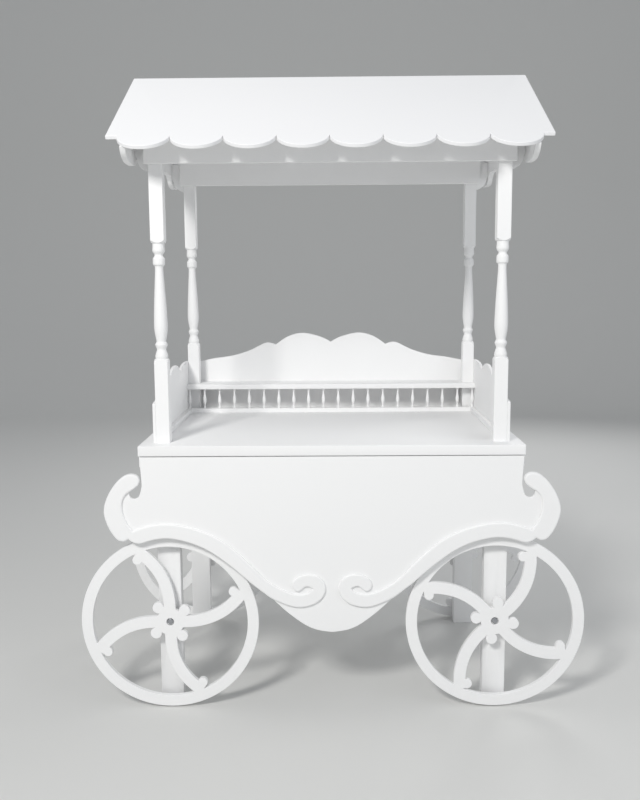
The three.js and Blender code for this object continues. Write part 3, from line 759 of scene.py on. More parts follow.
def eased_board(name, loops, thickness, front, back, steps=3):
    """A flat board with the given outline, whose back lies at z = 0 and whose front and back edges
    are rounded by (width, drop). The mesh is one closed body."""
    reach = max(front[0], back[0])
    loops = [with_stops(loop, 1.2 * reach) for loop in loops]
    outline = np.concatenate(loops)
    outward = np.concatenate([outward_of(loop) for loop in loops])
    following = following_points(loops)
    edges = list(enumerate(following))
    # Lines that run along the outline at the rounded edge's steps
    inner, count = [outline], len(outline)
    for k in range(1, steps + 1):
        ring = reach * (1 - math.cos(math.pi / 2 * k / steps))
        tried = outline - outward * ring
        good = (distances(tried, loops)[0] > 0.96 * ring) & inside(tried, loops)
        number = count + np.cumsum(good) - 1
        edges += [
            (number[i], number[j]) for i, j in enumerate(following) if good[i] and good[j]
        ]
        inner.append(tried[good])
        count += good.sum()
    # Where the board is narrower than its two rounded edges, they meet in a ridge
    near, far = np.zeros(len(outline)), np.full(len(outline), reach)
    for _ in range(HALVINGS):
        middle = (near + far) / 2
        tried = outline - outward * middle[:, None]
        fits = distances(tried, loops)[0] > 0.985 * middle
        near, far = np.where(fits, middle, near), np.where(fits, far, middle)
    narrow = (near < 0.97 * reach) & (near > 0.3 * MM)
    ridge = outline[narrow] - outward[narrow] * near[narrow][:, None]
    inner.append(ridge[inside(ridge, loops)] if len(ridge) else ridge)
    flat = np.concatenate(inner)
    verts, _, faces, origins, _, _ = geometry.delaunay_2d_cdt(
        [Vector(p) for p in flat], [(int(a), int(b)) for a, b in edges], [], 0, 1e-7, True
    )
    flat = np.array([v[:] for v in verts])
    middles = np.array([flat[list(f)].mean(0) for f in faces])
    kept = [f for f, good in zip(faces, inside(middles, loops)) if good]
    room, way = distances(flat, loops)
    first_of = {}
    for new, olds in enumerate(origins):
        for old in olds:
            first_of[old] = new
    on_edge = {first_of[i]: outward[i] for i in range(len(outline))}
    for i, direction in on_edge.items():
        room[i], way[i] = 0.0, -direction
    # Top and bottom faces share the flat points, and the wall joins them along the outline
    co, normals = [], []
    for (width, drop), depth, sign in ((front, thickness, 1), (back, 0, -1)):
        sunk, slope = rounded_depth(room, width, drop)
        for i, (p, s, g, w) in enumerate(zip(flat, sunk, slope, way)):
            co.append((p[0], p[1], depth - sign * s))
            normal = Vector((-w[0] * g, -w[1] * g, sign)).normalized()
            normals.append(normal)
    n = len(flat)
    polygons = []
    for f in kept:
        a, b, c = (flat[i] for i in f)
        turn = (b[0] - a[0]) * (c[1] - a[1]) - (b[1] - a[1]) * (c[0] - a[0])
        f = list(f) if turn > 0 else list(reversed(f))
        polygons.append(f)
        polygons.append([i + n for i in reversed(f)])
    for a, b in enumerate(following):
        a, b = first_of[a], first_of[b]
        polygons.append([a, a + n, b + n, b])
    mesh = bpy.data.meshes.new(name)
    mesh.from_pydata(co, [], polygons)
    used = sorted({i for f in polygons for i in f})
    if len(used) != len(co):
        keep = bmesh.new()
        keep.from_mesh(mesh)
        loose = [v for v in keep.verts if not v.link_faces]
        bmesh.ops.delete(keep, geom=loose, context="VERTS")
        keep.to_mesh(mesh)
        keep.free()
    mesh.shade_smooth()
    mesh.normals_split_custom_set_from_vertices([normals[i][:] for i in used])
    return mesh


def add_piece(name, mesh, body, nodes, slot, ease=None):
    """Links a finished piece to its body and takes the place of its CAD nodes."""
    piece = bpy.data.objects.new(name, mesh)
    bpy.context.scene.collection.objects.link(piece)
    mesh.materials.clear()
    mesh.materials.append(finish(slot))
    if ease:
        bevel = piece.modifiers.new("eased edges", "BEVEL")
        bevel.width = ease
        bevel.segments = 3
        bevel.limit_method = "ANGLE"
        bevel.angle_limit = math.radians(40)
        bevel.harden_normals = True
    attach(piece, body)
    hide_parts(*nodes)
    return piece


def moved_copy(mesh, name, place):
    """A copy of a mesh, put in its place."""
    copy = mesh.copy()
    copy.name = name
    copy.transform(place)
    return copy


def add_flat_boards(places, front, back=None, reveal=0.0):
    """Eased boards sawn to one outline, that of the first CAD node in (node, facing) pairs.

    The reveal lowers the straight upper edge.
    """
    sizes = bpy.context.scene.cart_boards
    node, facing = places[0]
    loops, low, high = node_outline(node, FACING[facing])
    if reveal:
        top = max(loop[:, 1].max() for loop in loops)
        for loop in loops:
            loop[loop[:, 1] > top - 0.1 * MM, 1] -= reveal
    loops = [refined(loop, sizes) for loop in loops]
    shape = eased_board("board", loops, high - low, front, back or front)
    for node, facing in places:
        low = node_outline(node, FACING[facing])[1]
        place = FACING[facing].to_4x4() @ Matrix.Translation((0, 0, low))
        mesh = moved_copy(shape, f"eased_{node}", place)
        add_piece(mesh.name, mesh, "cart", [node], "painted_board")
    bpy.data.meshes.remove(shape)


def add_straight_board(node, ease):
    """A straight sawn piece with its edges sanded round."""
    copy = cad_copy(node)
    mesh = bpy.data.meshes.new(f"sanded_{node}")
    copy.to_mesh(mesh)
    copy.free()
    mesh.shade_smooth()
    return add_piece(f"sanded_{node}", mesh, "cart", [node], "painted_board", ease)


# ---- turned pieces ----


def rounded_polygon(sides, across, ease, flat_steps, corner_steps):
    """Points round a regular polygon with eased corners; across is the distance to a flat."""
    half_turn = math.pi / sides
    centre = (across - ease) / math.cos(half_turn)
    points = []
    for k in range(sides):
        middle = 2 * half_turn * k
        out = np.array([math.cos(middle), math.sin(middle)])
        along = np.array([-out[1], out[0]])
        reach = (across - ease) * math.tan(half_turn)
        for j in range(flat_steps + 1):
            points.append(out * across + along * reach * (2 * j / flat_steps - 1))
        corner = middle + half_turn
        for j in range(1, corner_steps):
            a = middle + 2 * half_turn * j / corner_steps
            points.append(
                centre * np.array([math.cos(corner), math.sin(corner)])
                + ease * np.array([math.cos(a), math.sin(a)])
            )
    return points


def stacked(name, columns):
    """A closed mesh out of columns of (radius, height) round an axis, each at its own angle."""
    mesh = bmesh.new()
    rows = []
    for angle, line in columns:
        rows.append(
            [mesh.verts.new((r * math.cos(angle), r * math.sin(angle), z)) for r, z in line]
        )
    for a, b in zip(rows, rows[1:] + rows[:1]):
        for i in range(len(a) - 1):
            mesh.faces.new((a[i], b[i], b[i + 1], a[i + 1]))
    mesh.faces.new([row[-1] for row in rows])
    mesh.faces.new([row[0] for row in reversed(rows)])
    bmesh.ops.remove_doubles(mesh, verts=mesh.verts, dist=0.005 * MM)
    bmesh.ops.dissolve_degenerate(mesh, edges=mesh.edges, dist=0.001 * MM)
    bmesh.ops.recalc_face_normals(mesh, faces=mesh.faces)
    data = bpy.data.meshes.new(name)
    mesh.to_mesh(data)
    mesh.free()
    data.shade_smooth()
    data.set_sharp_from_angle(angle=math.radians(38))
    return data


def smooth_profile(points, steps):
    """A turned profile of (radius, height) drawn finely."""
    fine = []
    n = len(points)
    for i in range(n - 1):
        p = [np.array(points[max(0, min(n - 1, k))]) for k in (i - 1, i, i + 1, i + 2)]
        for j in range(steps):
            t = j / steps
            fine.append(
                0.5
                * (
                    2 * p[1]
                    + (p[2] - p[0]) * t
                    + (2 * p[0] - 5 * p[1] + 4 * p[2] - p[3]) * t**2
                    + (3 * p[1] - p[0] - 3 * p[2] + p[3]) * t**3
                )
            )
    return fine + [np.array(points[-1])]


# The turned part of a post, as shares of its half size and of the turning's height, from below
POST_TURNING_SHARES = (
    (0.86, 0), (0.94, 0.026), (0.7, 0.075), (0.7, 0.09), (0.9, 0.124), (0.7, 0.15), (0.74, 0.17),
    (0.96, 0.25), (0.97, 0.34), (0.86, 0.5), (0.7, 0.66), (0.6, 0.79), (0.84, 0.815),
    (0.87, 0.847), (0.84, 0.87), (0.58, 0.897), (0.86, 0.925), (0.9, 0.947), (0.86, 0.972),
    (0.86, 1),
)
# A spindle, as shares of its greatest radius and of its height, from below
SPINDLE_SHARES = (
    (0.7, 0), (0.7, 0.08), (0.4, 0.14), (0.6, 0.24), (1, 0.42), (0.75, 0.6), (0.45, 0.82),
    (0.7, 0.9), (0.7, 1),
)


def evaluated_mesh(name, tree, values):
    """The plain mesh that a geometry tree makes with the given inputs."""
    holder = bpy.data.objects.new(name, bpy.data.meshes.new(name))
    bpy.context.scene.collection.objects.link(holder)
    modifier = holder.modifiers.new("rule", "NODES")
    modifier.node_group = tree
    for item in tree.interface.items_tree:
        if item.item_type == "SOCKET" and item.in_out == "INPUT" and item.name in values:
            modifier[item.identifier] = values[item.name]
    graph = bpy.context.evaluated_depsgraph_get()
    mesh = bpy.data.meshes.new_from_object(holder.evaluated_get(graph), depsgraph=graph)
    holder.modifiers.remove(modifier)
    bpy.data.objects.remove(holder)
    if not mesh.polygons:
        raise RuntimeError(f"the rule for {name} made nothing")
    return mesh


def new_rule(name, sockets):
    """A geometry tree with named inputs; gives the tree and its inputs by name."""
    tree = bpy.data.node_groups.new(name, "GeometryNodeTree")
    tree.interface.new_socket("Geometry", in_out="OUTPUT", socket_type="NodeSocketGeometry")
    for socket, kind in sockets.items():
        tree.interface.new_socket(socket, in_out="INPUT", socket_type=f"NodeSocket{kind}")
    return tree, tree.nodes.new("NodeGroupInput").outputs


def end_rule(tree, geometry_socket, material):
    """Ends a tree: instances are made real and get their material."""
    real = add_node(tree, "GeometryNodeRealizeInstances", {0: geometry_socket}).outputs[0]
    done = add_node(
        tree, "GeometryNodeSetMaterial", {"Geometry": real, "Material": material}
    ).outputs[0]
    add_node(tree, "NodeGroupOutput", {0: done})
    return tree


def wheel_rule():
    """The flat pattern of a wheel: rim, hub disc, and bent spokes with their knobs."""
    tree, given = new_rule(
        "wheel pattern",
        {
            "Radius": "Float", "Rim": "Float", "Hub": "Float", "Spokes": "Int",
            "Spoke width": "Float", "Bend start": "Float", "Bend radius": "Float",
            "Bend angle": "Float", "Knob": "Float", "Knob orbit": "Float", "Knob lead": "Float",
            "Rim knob": "Float", "Rim knob orbit": "Float", "Rim knob lead": "Float",
        },
    )
    # Rim: the space between two circles
    inner = add_node(
        tree, "ShaderNodeMath", {0: given["Radius"], 1: given["Rim"]}, operation="SUBTRACT"
    ).outputs[0]
    circles = [
        add_node(
            tree, "GeometryNodeCurvePrimitiveCircle", {"Resolution": RIM_SIDES, "Radius": radius}
        ).outputs[0]
        for radius in (given["Radius"], inner)
    ]
    both = add_node(tree, "GeometryNodeJoinGeometry")
    for circle in circles:
        tree.links.new(circle, both.inputs[0])
    rim = add_node(tree, "GeometryNodeFillCurve", {0: both.outputs[0]}).outputs[0]
    # Spoke: a strip that runs straight to the start of its bend and then turns about a centre
    bend_length = add_node(
        tree,
        "ShaderNodeMath",
        {0: given["Bend radius"], 1: given["Bend angle"]},
        operation="MULTIPLY",
    ).outputs[0]
    length = add_node(
        tree, "ShaderNodeMath", {0: bend_length, 1: given["Bend start"]}, operation="ADD"
    ).outputs[0]
    strip = add_node(
        tree,
        "GeometryNodeMeshGrid",
        {
            "Size X": length,
            "Size Y": given["Spoke width"],
            "Vertices X": SPOKE_POINTS,
            "Vertices Y": 2,
        },
    ).outputs[0]
    spot = add_node(
        tree, "ShaderNodeSeparateXYZ", {0: add_node(tree, "GeometryNodeInputPosition").outputs[0]}
    ).outputs
    half = add_node(tree, "ShaderNodeMath", {0: length, 1: 0.5}, operation="MULTIPLY").outputs[0]
    along = add_node(tree, "ShaderNodeMath", {0: spot["X"], 1: half}, operation="ADD").outputs[0]
    straight = add_node(
        tree, "ShaderNodeMath", {0: along, 1: given["Bend start"]}, operation="MINIMUM"
    ).outputs[0]
    bent = add_node(
        tree, "ShaderNodeMath", {0: along, 1: straight}, operation="SUBTRACT"
    ).outputs[0]
    angle = add_node(
        tree, "ShaderNodeMath", {0: bent, 1: given["Bend radius"]}, operation="DIVIDE"
    ).outputs[0]
    arm = add_node(
        tree, "ShaderNodeMath", {0: given["Bend radius"], 1: spot["Y"]}, operation="SUBTRACT"
    ).outputs[0]
    sine = add_node(tree, "ShaderNodeMath", {0: angle}, operation="SINE").outputs[0]
    cosine = add_node(tree, "ShaderNodeMath", {0: angle}, operation="COSINE").outputs[0]
    x = add_node(
        tree, "ShaderNodeMath", {0: arm, 1: sine, 2: straight}, operation="MULTIPLY_ADD"
    ).outputs[0]
    fall = add_node(tree, "ShaderNodeMath", {0: arm, 1: cosine}, operation="MULTIPLY").outputs[0]
    y = add_node(
        tree, "ShaderNodeMath", {0: given["Bend radius"], 1: fall}, operation="SUBTRACT"
    ).outputs[0]
    bent_place = add_node(tree, "ShaderNodeCombineXYZ", {"X": x, "Y": y}).outputs[0]
    spoke = add_node(
        tree, "GeometryNodeSetPosition", {"Geometry": strip, "Position": bent_place}
    ).outputs[0]
    # Knobs: discs at an orbit, ahead of their spoke by an angle
    arm_pieces = add_node(tree, "GeometryNodeJoinGeometry")
    tree.links.new(spoke, arm_pieces.inputs[0])
    for knob in ("Knob", "Rim knob"):
        disc = add_node(
            tree,
            "GeometryNodeMeshCircle",
            {"Vertices": KNOB_SIDES, "Radius": given[knob]},
            fill_type="NGON",
        ).outputs[0]
        offset = add_node(
            tree, "ShaderNodeCombineXYZ", {"X": given[f"{knob} orbit"]}
        ).outputs[0]
        out = add_node(
            tree, "GeometryNodeTransform", {"Geometry": disc, "Translation": offset}
        ).outputs[0]
        lead = add_node(
            tree, "ShaderNodeCombineXYZ", {"Z": given[f"{knob} lead"]}
        ).outputs[0]
        ahead = add_node(
            tree, "GeometryNodeTransform", {"Geometry": out, "Rotation": lead}
        ).outputs[0]
        tree.links.new(ahead, arm_pieces.inputs[0])
    share = add_node(
        tree, "ShaderNodeMath", {0: math.tau, 1: given["Spokes"]}, operation="DIVIDE"
    ).outputs[0]
    number = add_node(tree, "GeometryNodeInputIndex").outputs[0]
    swing = add_node(tree, "ShaderNodeMath", {0: number, 1: share}, operation="MULTIPLY").outputs[0]
    turn = add_node(tree, "ShaderNodeCombineXYZ", {"Z": swing}).outputs[0]
    centres = add_node(tree, "GeometryNodePoints", {"Count": given["Spokes"]}).outputs[0]
    arms = add_node(
        tree,
        "GeometryNodeInstanceOnPoints",
        {"Points": centres, "Instance": arm_pieces.outputs[0], "Rotation": turn},
    ).outputs[0]
    hub = add_node(
        tree,
        "GeometryNodeMeshCircle",
        {"Vertices": HUB_SIDES, "Radius": given["Hub"]},
        fill_type="NGON",
    ).outputs[0]
    wheel = add_node(tree, "GeometryNodeJoinGeometry")
    for part in (rim, hub, arms):
        tree.links.new(part, wheel.inputs[0])
    return end_rule(tree, wheel.outputs[0], finish("painted_board"))


def eave_rule():
    """The flat pattern of a roof board: a plain rectangle with a row of scallops along its eave."""
    tree, given = new_rule(
        "roof pattern",
        {
            "Half width": "Float", "Slope": "Float", "Scallops": "Int", "Pitch": "Float",
            "Drop": "Float",
        },
    )
    width = add_node(
        tree, "ShaderNodeMath", {0: given["Half width"], 1: 2.0}, operation="MULTIPLY"
    ).outputs[0]
    board = add_node(
        tree,
        "GeometryNodeMeshGrid",
        {"Size X": width, "Size Y": given["Slope"], "Vertices X": 2, "Vertices Y": 2},
    ).outputs[0]
    middle = add_node(
        tree, "ShaderNodeMath", {0: given["Slope"], 1: -0.5}, operation="MULTIPLY"
    ).outputs[0]
    down = add_node(tree, "ShaderNodeCombineXYZ", {"Y": middle}).outputs[0]
    hung = add_node(
        tree, "GeometryNodeTransform", {"Geometry": board, "Translation": down}
    ).outputs[0]
    # Scallop: the part of a disc below a chord, with the disc's radius from the chord and the drop
    half = add_node(
        tree, "ShaderNodeMath", {0: given["Pitch"], 1: 0.5}, operation="MULTIPLY"
    ).outputs[0]
    half_squared = add_node(
        tree, "ShaderNodeMath", {0: half, 1: half}, operation="MULTIPLY"
    ).outputs[0]
    sum_squared = add_node(
        tree,
        "ShaderNodeMath",
        {0: given["Drop"], 1: given["Drop"], 2: half_squared},
        operation="MULTIPLY_ADD",
    ).outputs[0]
    twice = add_node(
        tree, "ShaderNodeMath", {0: given["Drop"], 1: 2.0}, operation="MULTIPLY"
    ).outputs[0]
    radius = add_node(
        tree, "ShaderNodeMath", {0: sum_squared, 1: twice}, operation="DIVIDE"
    ).outputs[0]
    rise = add_node(
        tree, "ShaderNodeMath", {0: radius, 1: given["Drop"]}, operation="SUBTRACT"
    ).outputs[0]
    strip = add_node(
        tree,
        "GeometryNodeMeshGrid",
        {
            "Size X": given["Pitch"],
            "Size Y": 1.0,
            "Vertices X": SCALLOP_POINTS,
            "Vertices Y": 2,
        },
    ).outputs[0]
    spot = add_node(
        tree, "ShaderNodeSeparateXYZ", {0: add_node(tree, "GeometryNodeInputPosition").outputs[0]}
    ).outputs
    # Even steps of angle along the arc: x = radius sin(angle)
    reach = add_node(tree, "ShaderNodeMath", {0: half, 1: radius}, operation="DIVIDE").outputs[0]
    widest = add_node(tree, "ShaderNodeMath", {0: reach}, operation="ARCSINE").outputs[0]
    share = add_node(tree, "ShaderNodeMath", {0: spot["X"], 1: half}, operation="DIVIDE").outputs[0]
    angle = add_node(tree, "ShaderNodeMath", {0: share, 1: widest}, operation="MULTIPLY").outputs[0]
    sine = add_node(tree, "ShaderNodeMath", {0: angle}, operation="SINE").outputs[0]
    cosine = add_node(tree, "ShaderNodeMath", {0: angle}, operation="COSINE").outputs[0]
    x = add_node(tree, "ShaderNodeMath", {0: sine, 1: radius}, operation="MULTIPLY").outputs[0]
    level = add_node(
        tree, "ShaderNodeMath", {0: cosine, 1: radius}, operation="MULTIPLY"
    ).outputs[0]
    depth = add_node(tree, "ShaderNodeMath", {0: level, 1: rise}, operation="SUBTRACT").outputs[0]
    lower = add_node(
        tree, "ShaderNodeMath", {0: 0.5, 1: spot["Y"]}, operation="SUBTRACT"
    ).outputs[0]
    fall = add_node(tree, "ShaderNodeMath", {0: depth, 1: lower}, operation="MULTIPLY").outputs[0]
    y = add_node(tree, "ShaderNodeMath", {0: fall, 1: -1.0}, operation="MULTIPLY").outputs[0]
    arc_place = add_node(tree, "ShaderNodeCombineXYZ", {"X": x, "Y": y}).outputs[0]
    shaped = add_node(
        tree, "GeometryNodeSetPosition", {"Geometry": strip, "Position": arc_place}
    ).outputs[0]
    gaps = add_node(
        tree, "ShaderNodeMath", {0: given["Scallops"], 1: 1.0}, operation="SUBTRACT"
    ).outputs[0]
    back = add_node(tree, "ShaderNodeMath", {0: gaps, 1: -0.5}, operation="MULTIPLY").outputs[0]
    first_x = add_node(
        tree, "ShaderNodeMath", {0: back, 1: given["Pitch"]}, operation="MULTIPLY"
    ).outputs[0]
    eave_y = add_node(
        tree, "ShaderNodeMath", {0: given["Slope"], 1: -1.0}, operation="MULTIPLY"
    ).outputs[0]
    row = add_node(
        tree,
        "GeometryNodeMeshLine",
        {
            "Count": given["Scallops"],
            "Start Location": add_node(
                tree, "ShaderNodeCombineXYZ", {"X": first_x, "Y": eave_y}
            ).outputs[0],
            "Offset": add_node(tree, "ShaderNodeCombineXYZ", {"X": given["Pitch"]}).outputs[0],
        },
    ).outputs[0]
    scallops = add_node(
        tree, "GeometryNodeInstanceOnPoints", {"Points": row, "Instance": shaped}
    ).outputs[0]
    whole = add_node(tree, "GeometryNodeJoinGeometry")
    for part in (hung, scallops):
        tree.links.new(part, whole.inputs[0])
    return end_rule(tree, whole.outputs[0], finish("painted_roof"))


def spindle_rule():
    """A row of turned spindles: one profile spun round, at even steps along the rail."""
    tree, given = new_rule(
        "spindle row",
        {"Count": "Int", "Pitch": "Float", "Radius": "Float", "Height": "Float"},
    )
    top = add_node(tree, "ShaderNodeCombineXYZ", {"Z": given["Height"]}).outputs[0]
    line = add_node(
        tree, "GeometryNodeCurvePrimitiveLine", {"Start": (0, 0, 0), "End": top}
    ).outputs[0]
    fine = add_node(
        tree, "GeometryNodeResampleCurve", {"Curve": line, "Count": SPINDLE_POINTS}
    ).outputs[0]
    along = add_node(tree, "GeometryNodeSplineParameter").outputs["Factor"]
    shape = add_node(tree, "ShaderNodeFloatCurve", {"Value": along})
    curve = shape.mapping.curves[0]
    for i, (share, height) in enumerate(SPINDLE_SHARES):
        if i < 2:
            curve.points[i].location = (height, share)
        else:
            curve.points.new(height, share)
    shape.mapping.update()
    swelling = add_node(
        tree, "GeometryNodeSetCurveRadius", {"Curve": fine, "Radius": shape.outputs[0]}
    ).outputs[0]
    ring = add_node(
        tree,
        "GeometryNodeCurvePrimitiveCircle",
        {"Resolution": SPINDLE_SIDES, "Radius": given["Radius"]},
    ).outputs[0]
    tube = add_node(tree, "GeometryNodeCurveToMesh", {"Curve": swelling, "Profile Curve": ring})
    tube.inputs["Fill Caps"].default_value = True
    for socket in tube.inputs:
        if socket.name == "Scale":
            tree.links.new(shape.outputs[0], socket)
    gaps = add_node(
        tree, "ShaderNodeMath", {0: given["Count"], 1: 1.0}, operation="SUBTRACT"
    ).outputs[0]
    back = add_node(tree, "ShaderNodeMath", {0: gaps, 1: -0.5}, operation="MULTIPLY").outputs[0]
    first = add_node(
        tree, "ShaderNodeMath", {0: back, 1: given["Pitch"]}, operation="MULTIPLY"
    ).outputs[0]
    row = add_node(
        tree,
        "GeometryNodeMeshLine",
        {
            "Count": given["Count"],
            "Start Location": add_node(tree, "ShaderNodeCombineXYZ", {"X": first}).outputs[0],
            "Offset": add_node(tree, "ShaderNodeCombineXYZ", {"X": given["Pitch"]}).outputs[0],
        },
    ).outputs[0]
    spindles = add_node(
        tree, "GeometryNodeInstanceOnPoints", {"Points": row, "Instance": tube.outputs[0]}
    ).outputs[0]
    return end_rule(tree, spindles, finish("turned_wood"))


def area_of(loop):
    """The area that a loop goes round, negative for a hole."""
    x, y = loop.T
    return (x * np.roll(y, -1) - y * np.roll(x, -1)).sum() / 2


def pattern_outline(mesh):
    """The loops round a flat pattern whose faces may overlap, without gaps too small to saw."""
    verts = [v.co.xy for v in mesh.vertices]
    faces = [list(p.vertices) for p in mesh.polygons]
    flat, _, pieces, _, _, _ = geometry.delaunay_2d_cdt(verts, [], faces, 0, 1e-6, False)
    middles = np.array([sum((flat[i] for i in f), Vector((0, 0))) / 3 for f in pieces])
    covered = np.zeros(len(pieces), bool)
    for face in faces:
        covered |= inside(middles, [np.array([verts[i] for i in face])])
    sides = {}
    for face, filled in zip(pieces, covered):
        if filled:
            a, b, c = (flat[i] for i in face)
            f = face if (b - a).cross(c - a) > 0 else face[::-1]
            for edge in zip(f, [*f[1:], f[0]]):
                sides[edge] = True
    edges = [e for e in sides if (e[1], e[0]) not in sides]
    loops = [np.array([flat[i][:] for i in loop]) for loop in chained(edges)]
    return [loop for loop in loops if abs(area_of(loop)) > 30 * MM**2]


# ---- operators ----


class CART_OT_straight_boards(bpy.types.Operator):
    """Counter, legs, rails, aprons, beams, shelf, skirtings, gable panels and ridge beam"""

    bl_idname = "cart.straight_boards"
    bl_label = "Straight boards"

    def execute(self, context):
        sizes = context.scene.cart_boards
        add_straight_board("counter_top", sizes.counter_ease)
        frame_pieces = [f"leg_{c}" for c in CORNERS]
        frame_pieces += [f"frame_rail_{s}" for s in ("front", "rear", *SIDES)]
        frame_pieces += ["beam_front", "beam_rear", "ridge_beam", "gallery_shelf"]
        for node in frame_pieces:
            add_straight_board(node, sizes.frame_ease)
        for node in ("side_apron", "skirting", "gable_panel"):
            for side in SIDES:
                add_straight_board(f"{node}_{side}", sizes.board_ease)
        return {"FINISHED"}


class CART_OT_shaped_boards(bpy.types.Operator):
    """Front and rear panels, side boards, back board, gable rails and eave brackets"""

    bl_idname = "cart.shaped_boards"
    bl_label = "Shaped boards"

    def execute(self, context):
        sizes = context.scene.cart_boards
        edge = (sizes.board_ease, sizes.board_ease)
        panels = [("front_panel", "front"), ("rear_panel", "rear")]
        add_flat_boards(panels, edge, reveal=sizes.panel_reveal)
        add_flat_boards([("back_board", "front")], edge)
        for node in ("side_board", "gable_rail"):
            add_flat_boards([(f"{node}_{side}", "side") for side in SIDES], edge)
        for side, other in (SIDES, SIDES[::-1]):
            pair = [(f"bracket_front_{side}", "front"), (f"bracket_rear_{other}", "rear")]
            add_flat_boards(pair, edge)
        return {"FINISHED"}


class CART_OT_scrolls(bpy.types.Operator):
    """Scroll mouldings with a broad rounded edge"""

    bl_idname = "cart.scrolls"
    bl_label = "Scroll mouldings"

    def execute(self, context):
        sizes = context.scene.cart_boards
        front = (sizes.scroll_round_width, sizes.scroll_round_drop)
        back = (sizes.scroll_groove, sizes.scroll_groove)
        for side, other in (SIDES, SIDES[::-1]):
            pair = [(f"front_scroll_{side}", "front"), (f"rear_scroll_{other}", "rear")]
            add_flat_boards(pair, front, back)
        return {"FINISHED"}


class CART_OT_wheels(bpy.types.Operator):
    """Board wheels with bent spokes and knobs"""

    bl_idname = "cart.wheels"
    bl_label = "Wheels"

    def execute(self, context):
        sizes = context.scene.cart_wheels
        boards = context.scene.cart_boards
        mesh = evaluated_mesh(
            "wheel_pattern",
            wheel_rule(),
            {
                "Radius": sizes.radius, "Rim": sizes.rim, "Hub": sizes.hub,
                "Spokes": sizes.spokes, "Spoke width": sizes.spoke_width,
                "Bend start": sizes.spoke_start, "Bend radius": sizes.bend_radius,
                "Bend angle": sizes.bend_angle, "Knob": sizes.knob,
                "Knob orbit": sizes.knob_orbit, "Knob lead": sizes.knob_lead,
                "Rim knob": sizes.rim_knob, "Rim knob orbit": sizes.rim_knob_orbit,
                "Rim knob lead": sizes.rim_knob_lead,
            },
        )
        loops = [
            with_eased_corners(without_repeats(loop, 0.8 * MM), boards.corner_ease)
            for loop in pattern_outline(mesh)
        ]
        bpy.data.meshes.remove(mesh)
        round_hole = [
            (sizes.recess * math.cos(a), -sizes.recess * math.sin(a))
            for a in np.linspace(0, math.tau, RING_SIDES, endpoint=False)
        ]
        loops.append(np.array(round_hole))
        low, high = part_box("wheel_front_left")
        thickness = high.y - low.y
        ease = (boards.board_ease, boards.board_ease)
        board = eased_board("wheel", loops, thickness, ease, ease, 2)
        # The floor of the recess, with the bore through it
        floor = ring_mesh(
            "recess",
            sizes.bore,
            sizes.recess + 0.4 * MM,
            0.2 * MM,
            thickness - sizes.recess_depth,
        )
        for corner, turn in zip(CORNERS, sizes.turns):
            place = hub_place(f"wheel_{corner}") @ Matrix.Rotation(turn, 4, "Z")
            for shape in (board, floor):
                mesh = moved_copy(shape, f"{shape.name}_board_{corner}", place)
                add_piece(
                    mesh.name, mesh, f"{corner}_wheel", [f"wheel_{corner}"], "painted_board"
                )
        for shape in (board, floor):
            bpy.data.meshes.remove(shape)
        return {"FINISHED"}


def hub_place(node):
    """The place of a piece on a hub's axis, whose back lies at z = 0 and whose front faces out."""
    low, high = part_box(node)
    facing = "front" if high.y < 0 else "rear"
    back = high.y if facing == "front" else low.y
    middle = (low + high) / 2
    return Matrix.Translation((middle.x, back, middle.z)) @ FACING[facing].to_4x4()


def ring_mesh(name, inner, outer, low, high, ease=0.3 * MM):
    """A turned ring with sanded edges, along Z."""
    section = [
        (inner, low + ease), (inner + ease, low), (outer - ease, low), (outer, low + ease),
        (outer, high - ease), (outer - ease, high), (inner + ease, high), (inner, high - ease),
    ]
    mesh = bmesh.new()
    rows = []
    for k in range(RING_SIDES):
        a = math.tau * k / RING_SIDES
        rows.append(
            [mesh.verts.new((r * math.cos(a), r * math.sin(a), z)) for r, z in section]
        )
    for a, b in zip(rows, rows[1:] + rows[:1]):
        for i in range(len(section)):
            j = (i + 1) % len(section)
            mesh.faces.new((a[i], b[i], b[j], a[j]))
    bmesh.ops.recalc_face_normals(mesh, faces=mesh.faces)
    data = bpy.data.meshes.new(name)
    mesh.to_mesh(data)
    mesh.free()
    data.shade_smooth()
    data.set_sharp_from_angle(angle=math.radians(30))
    return data


class CART_OT_hub_bolts(bpy.types.Operator):
    """Hub bolts with hexagon heads, and the spacers behind the wheels"""

    bl_idname = "cart.hub_bolts"
    bl_label = "Hub bolts"

    def execute(self, context):
        across, head, shank = 9 * MM, 7 * MM, 6 * MM
        chamfer_start = 0.94 * across
        spacer_bore = 6.3 * MM
        low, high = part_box("hub_bolt_front_left")
        length = high.y - low.y
        columns = []
        for x, y in rounded_polygon(6, across, 0.3 * MM, 6, 3):
            reach = math.hypot(x, y)
            # The head's outer corners are turned off at thirty degrees
            chamfer = (reach - chamfer_start) * math.tan(math.radians(30))
            line = [
                (shank - 1 * MM, 0),
                (shank, 1 * MM),
                (shank, length - head),
                (reach, length - head),
                (reach, length - chamfer),
                (chamfer_start, length),
            ]
            columns.append((math.atan2(y, x), line))
        bolt = stacked("hex_bolt", columns)
        low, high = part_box("hub_spacer_front_left")
        spacer = ring_mesh(
            "turned_spacer", spacer_bore, (high.z - low.z) / 2, 0, high.y - low.y, ease=0.5 * MM
        )
        for corner in CORNERS:
            for shape, node in ((bolt, "hub_bolt"), (spacer, "hub_spacer")):
                mesh = moved_copy(shape, f"{shape.name}_{corner}", hub_place(f"{node}_{corner}"))
                add_piece(mesh.name, mesh, "cart", [f"{node}_{corner}"], "steel")
        for shape in (bolt, spacer):
            bpy.data.meshes.remove(shape)
        return {"FINISHED"}


